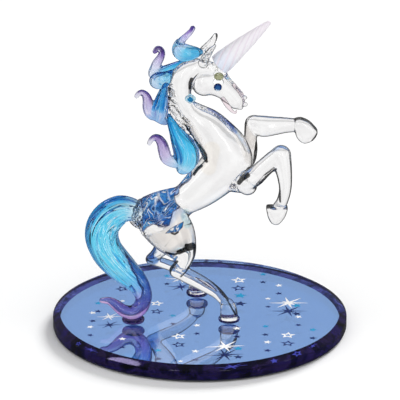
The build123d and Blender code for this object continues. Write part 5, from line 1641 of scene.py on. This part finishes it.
beard = tube("beard_glass", [(9.6, 3.0, 103.9, 1.1), (11.2, 2.6, 101.6, 1.25), (12.4, 2.4, 99.6, 1.0),
                             (13.6, 2.4, 98.0, 0.7), (15.2, 2.5, 97.0, 0.45), (15.6, 2.6, 98.0, 0.30)],
             [clear_glass("beard_clear_glass", shift=0.2, hue=(0.97, 0.86, 0.90))], around=40, step=0.3)
put(beard, "clear_glass", "beard")


# ================================================================= staging
def build_world():
    """A white surround with narrow dark gaps; glossy rays see a dimmer room with light boxes."""
    w = bpy.data.worlds.new("studio")
    scene.world = w
    w.use_nodes = True
    t = w.node_tree
    t.nodes.clear()
    out = add(t, "ShaderNodeOutputWorld")
    d = add(t, "ShaderNodeTexCoord").outputs["Generated"]
    nrm = add(t, "ShaderNodeVectorMath", {0: d}, operation="NORMALIZE").outputs[0]
    xyz = add(t, "ShaderNodeSeparateXYZ", {0: nrm})
    z = xyz.outputs[2]
    az = math_node(t, "ARCTAN2", xyz.outputs[1], xyz.outputs[0])
    c4 = math_node(t, "COSINE", math_node(t, "MULTIPLY", az, 4.0))
    # what is seen through the glass
    gaps = math_node(t, "MAXIMUM", map_range(t, c4, -0.97, -0.88, 0.10, 1.0), map_range(t, z, 0.05, 0.22))
    high = math_node(t, "ABSOLUTE", math_node(t, "SUBTRACT", z, 0.70))
    gap_up = map_range(t, high, 0.03, 0.10, 0.78, 1.0)
    low = math_node(t, "ABSOLUTE", math_node(t, "ADD", z, 0.66))
    gap_down = map_range(t, low, 0.03, 0.06, 0.72, 1.0)
    soft = add(t, "ShaderNodeTexNoise", {"Vector": nrm, "Scale": 3.2, "Detail": 2.0})
    light_patch = map_range(t, soft.outputs["Fac"], 0.35, 0.65, 0.90, 1.0)
    through = math_node(t, "MULTIPLY", math_node(t, "MULTIPLY", gaps, gap_up),
                        math_node(t, "MULTIPLY", gap_down, light_patch))
    # what is mirrored by the surfaces
    box = math_node(t, "MULTIPLY", map_range(t, c4, -0.10, 0.0), map_range(t, c4, 0.55, 0.40))
    box = math_node(t, "MULTIPLY", box, map_range(t, xyz.outputs[1], 0.45, 0.30))
    level = math_node(t, "MULTIPLY", box, map_range(t, math_node(t, "ABSOLUTE", math_node(t, "SUBTRACT", z, 0.28)),
                                                    0.30, 0.26))
    aim = add(t, "ShaderNodeVectorMath", {0: nrm, 1: (-0.403, 0.285, 0.870)}, operation="DOT_PRODUCT").outputs["Value"]
    lid = map_range(t, aim, 0.9925, 0.9962, 0.0, 2.5)
    room = map_range(t, z, -0.10, 0.10, 0.08, 0.14)
    mirrored = math_node(t, "ADD", room, math_node(t, "MULTIPLY", math_node(t, "MAXIMUM", level, lid), 3.2))
    lp = add(t, "ShaderNodeLightPath")
    behind = map_range(t, xyz.outputs[1], -0.05, 0.15)
    soft_light = math_node(t, "MULTIPLY_ADD", behind, -0.86, 1.05)
    flat = math_node(t, "MULTIPLY", lp.outputs["Is Diffuse Ray"], soft_light)
    cam = lp.outputs["Is Camera Ray"]
    bounced = math_node(t, "MULTIPLY", lp.outputs["Is Glossy Ray"], lp.outputs["Is Reflection Ray"])
    gloss = math_node(t, "MULTIPLY", bounced, mirrored)
    rest = math_node(t, "SUBTRACT", 1.0, math_node(
        t, "MAXIMUM", math_node(t, "MAXIMUM", lp.outputs["Is Diffuse Ray"], cam), bounced))
    strength = math_node(t, "ADD", math_node(t, "ADD", flat, cam),
                         math_node(t, "ADD", gloss, math_node(t, "MULTIPLY", through, rest)))
    violet = math_node(t, "MULTIPLY", bounced, map_range(t, aim, 0.988, 0.9925))
    hue = mix_colour(t, violet, (1.0, 1.0, 1.0), (0.64, 0.56, 1.0))
    bg = add(t, "ShaderNodeBackground", {"Color": hue, "Strength": strength})
    t.links.new(bg.outputs[0], out.inputs[0])


def build_key_light():
    """One large soft light behind, on the right: it draws the disc's shadow to the front left."""
    lamp = bpy.data.lights.new("soft_key", "SUN")
    lamp.energy = 2.8
    lamp.angle = math.radians(26.0)
    ob = bpy.data.objects.new("soft_key", lamp)
    az, up = math.radians(60.0), math.radians(30.0)
    aim = Vector((-math.cos(az) * math.cos(up), -math.sin(az) * math.cos(up), -math.sin(up)))
    ob.rotation_euler = aim.to_track_quat("-Z", "Y").to_euler()
    ob.visible_glossy = False
    ob.visible_transmission = False
    scene.collection.objects.link(ob)


def build_floor():
    s = 6000.0
    m, t, out = new_material("floor")
    co = add(t, "ShaderNodeTexCoord").outputs["Object"]
    n = add(t, "ShaderNodeTexNoise", {"Vector": co, "Scale": 4.0, "Detail": 2.0})
    c = ramp(t, n.outputs["Fac"], [(0.3, grey(0.94)), (0.7, grey(0.95))])
    dif = add(t, "ShaderNodeBsdfDiffuse", {"Color": c})
    clear = add(t, "ShaderNodeBsdfTransparent")
    lp = add(t, "ShaderNodeLightPath")
    sharp = math_node(t, "MAXIMUM", lp.outputs["Is Transmission Ray"], lp.outputs["Is Glossy Ray"])
    mix = add(t, "ShaderNodeMixShader", {0: sharp, 1: dif.outputs[0], 2: clear.outputs[0]})
    t.links.new(mix.outputs[0], out.inputs["Surface"])
    ob = make_object("studio_floor", [(-s, -s, -0.02), (s, -s, -0.02), (s, s, -0.02), (-s, s, -0.02)],
                     [(0, 1, 2, 3)], [m], smooth=False)


build_world()
build_key_light()
build_floor()
# clear and tinted glass lets the key light through to the disc
for piece in bpy.data.objects:
    if piece.name in ("clear_body", "tail_glass_body", "beard_glass") or piece.name.startswith("mane_lock_"):
        piece.visible_shadow = False

cam_data = bpy.data.cameras.new("photo_camera")
cam_data.lens = 415.98
cam_data.sensor_width = 36.0
cam_data.shift_x = 0.0005
cam_data.clip_start = 0.1
cam_data.clip_end = 50.0
camera = bpy.data.objects.new("photo_camera", cam_data)
camera.location = (0.0, -1.85306, 0.75965)
camera.rotation_euler = (math.radians(69.268), 0.0, 0.0)
scene.collection.objects.link(camera)
scene.camera = camera

scene.view_settings.view_transform = "Standard"
scene.view_settings.look = "None"
scene.cycles.max_bounces = 32
scene.cycles.transmission_bounces = 28
scene.cycles.glossy_bounces = 16
scene.cycles.transparent_max_bounces = 32
scene.cycles.use_denoising = True
scene.cycles.sample_clamp_indirect = 6.0
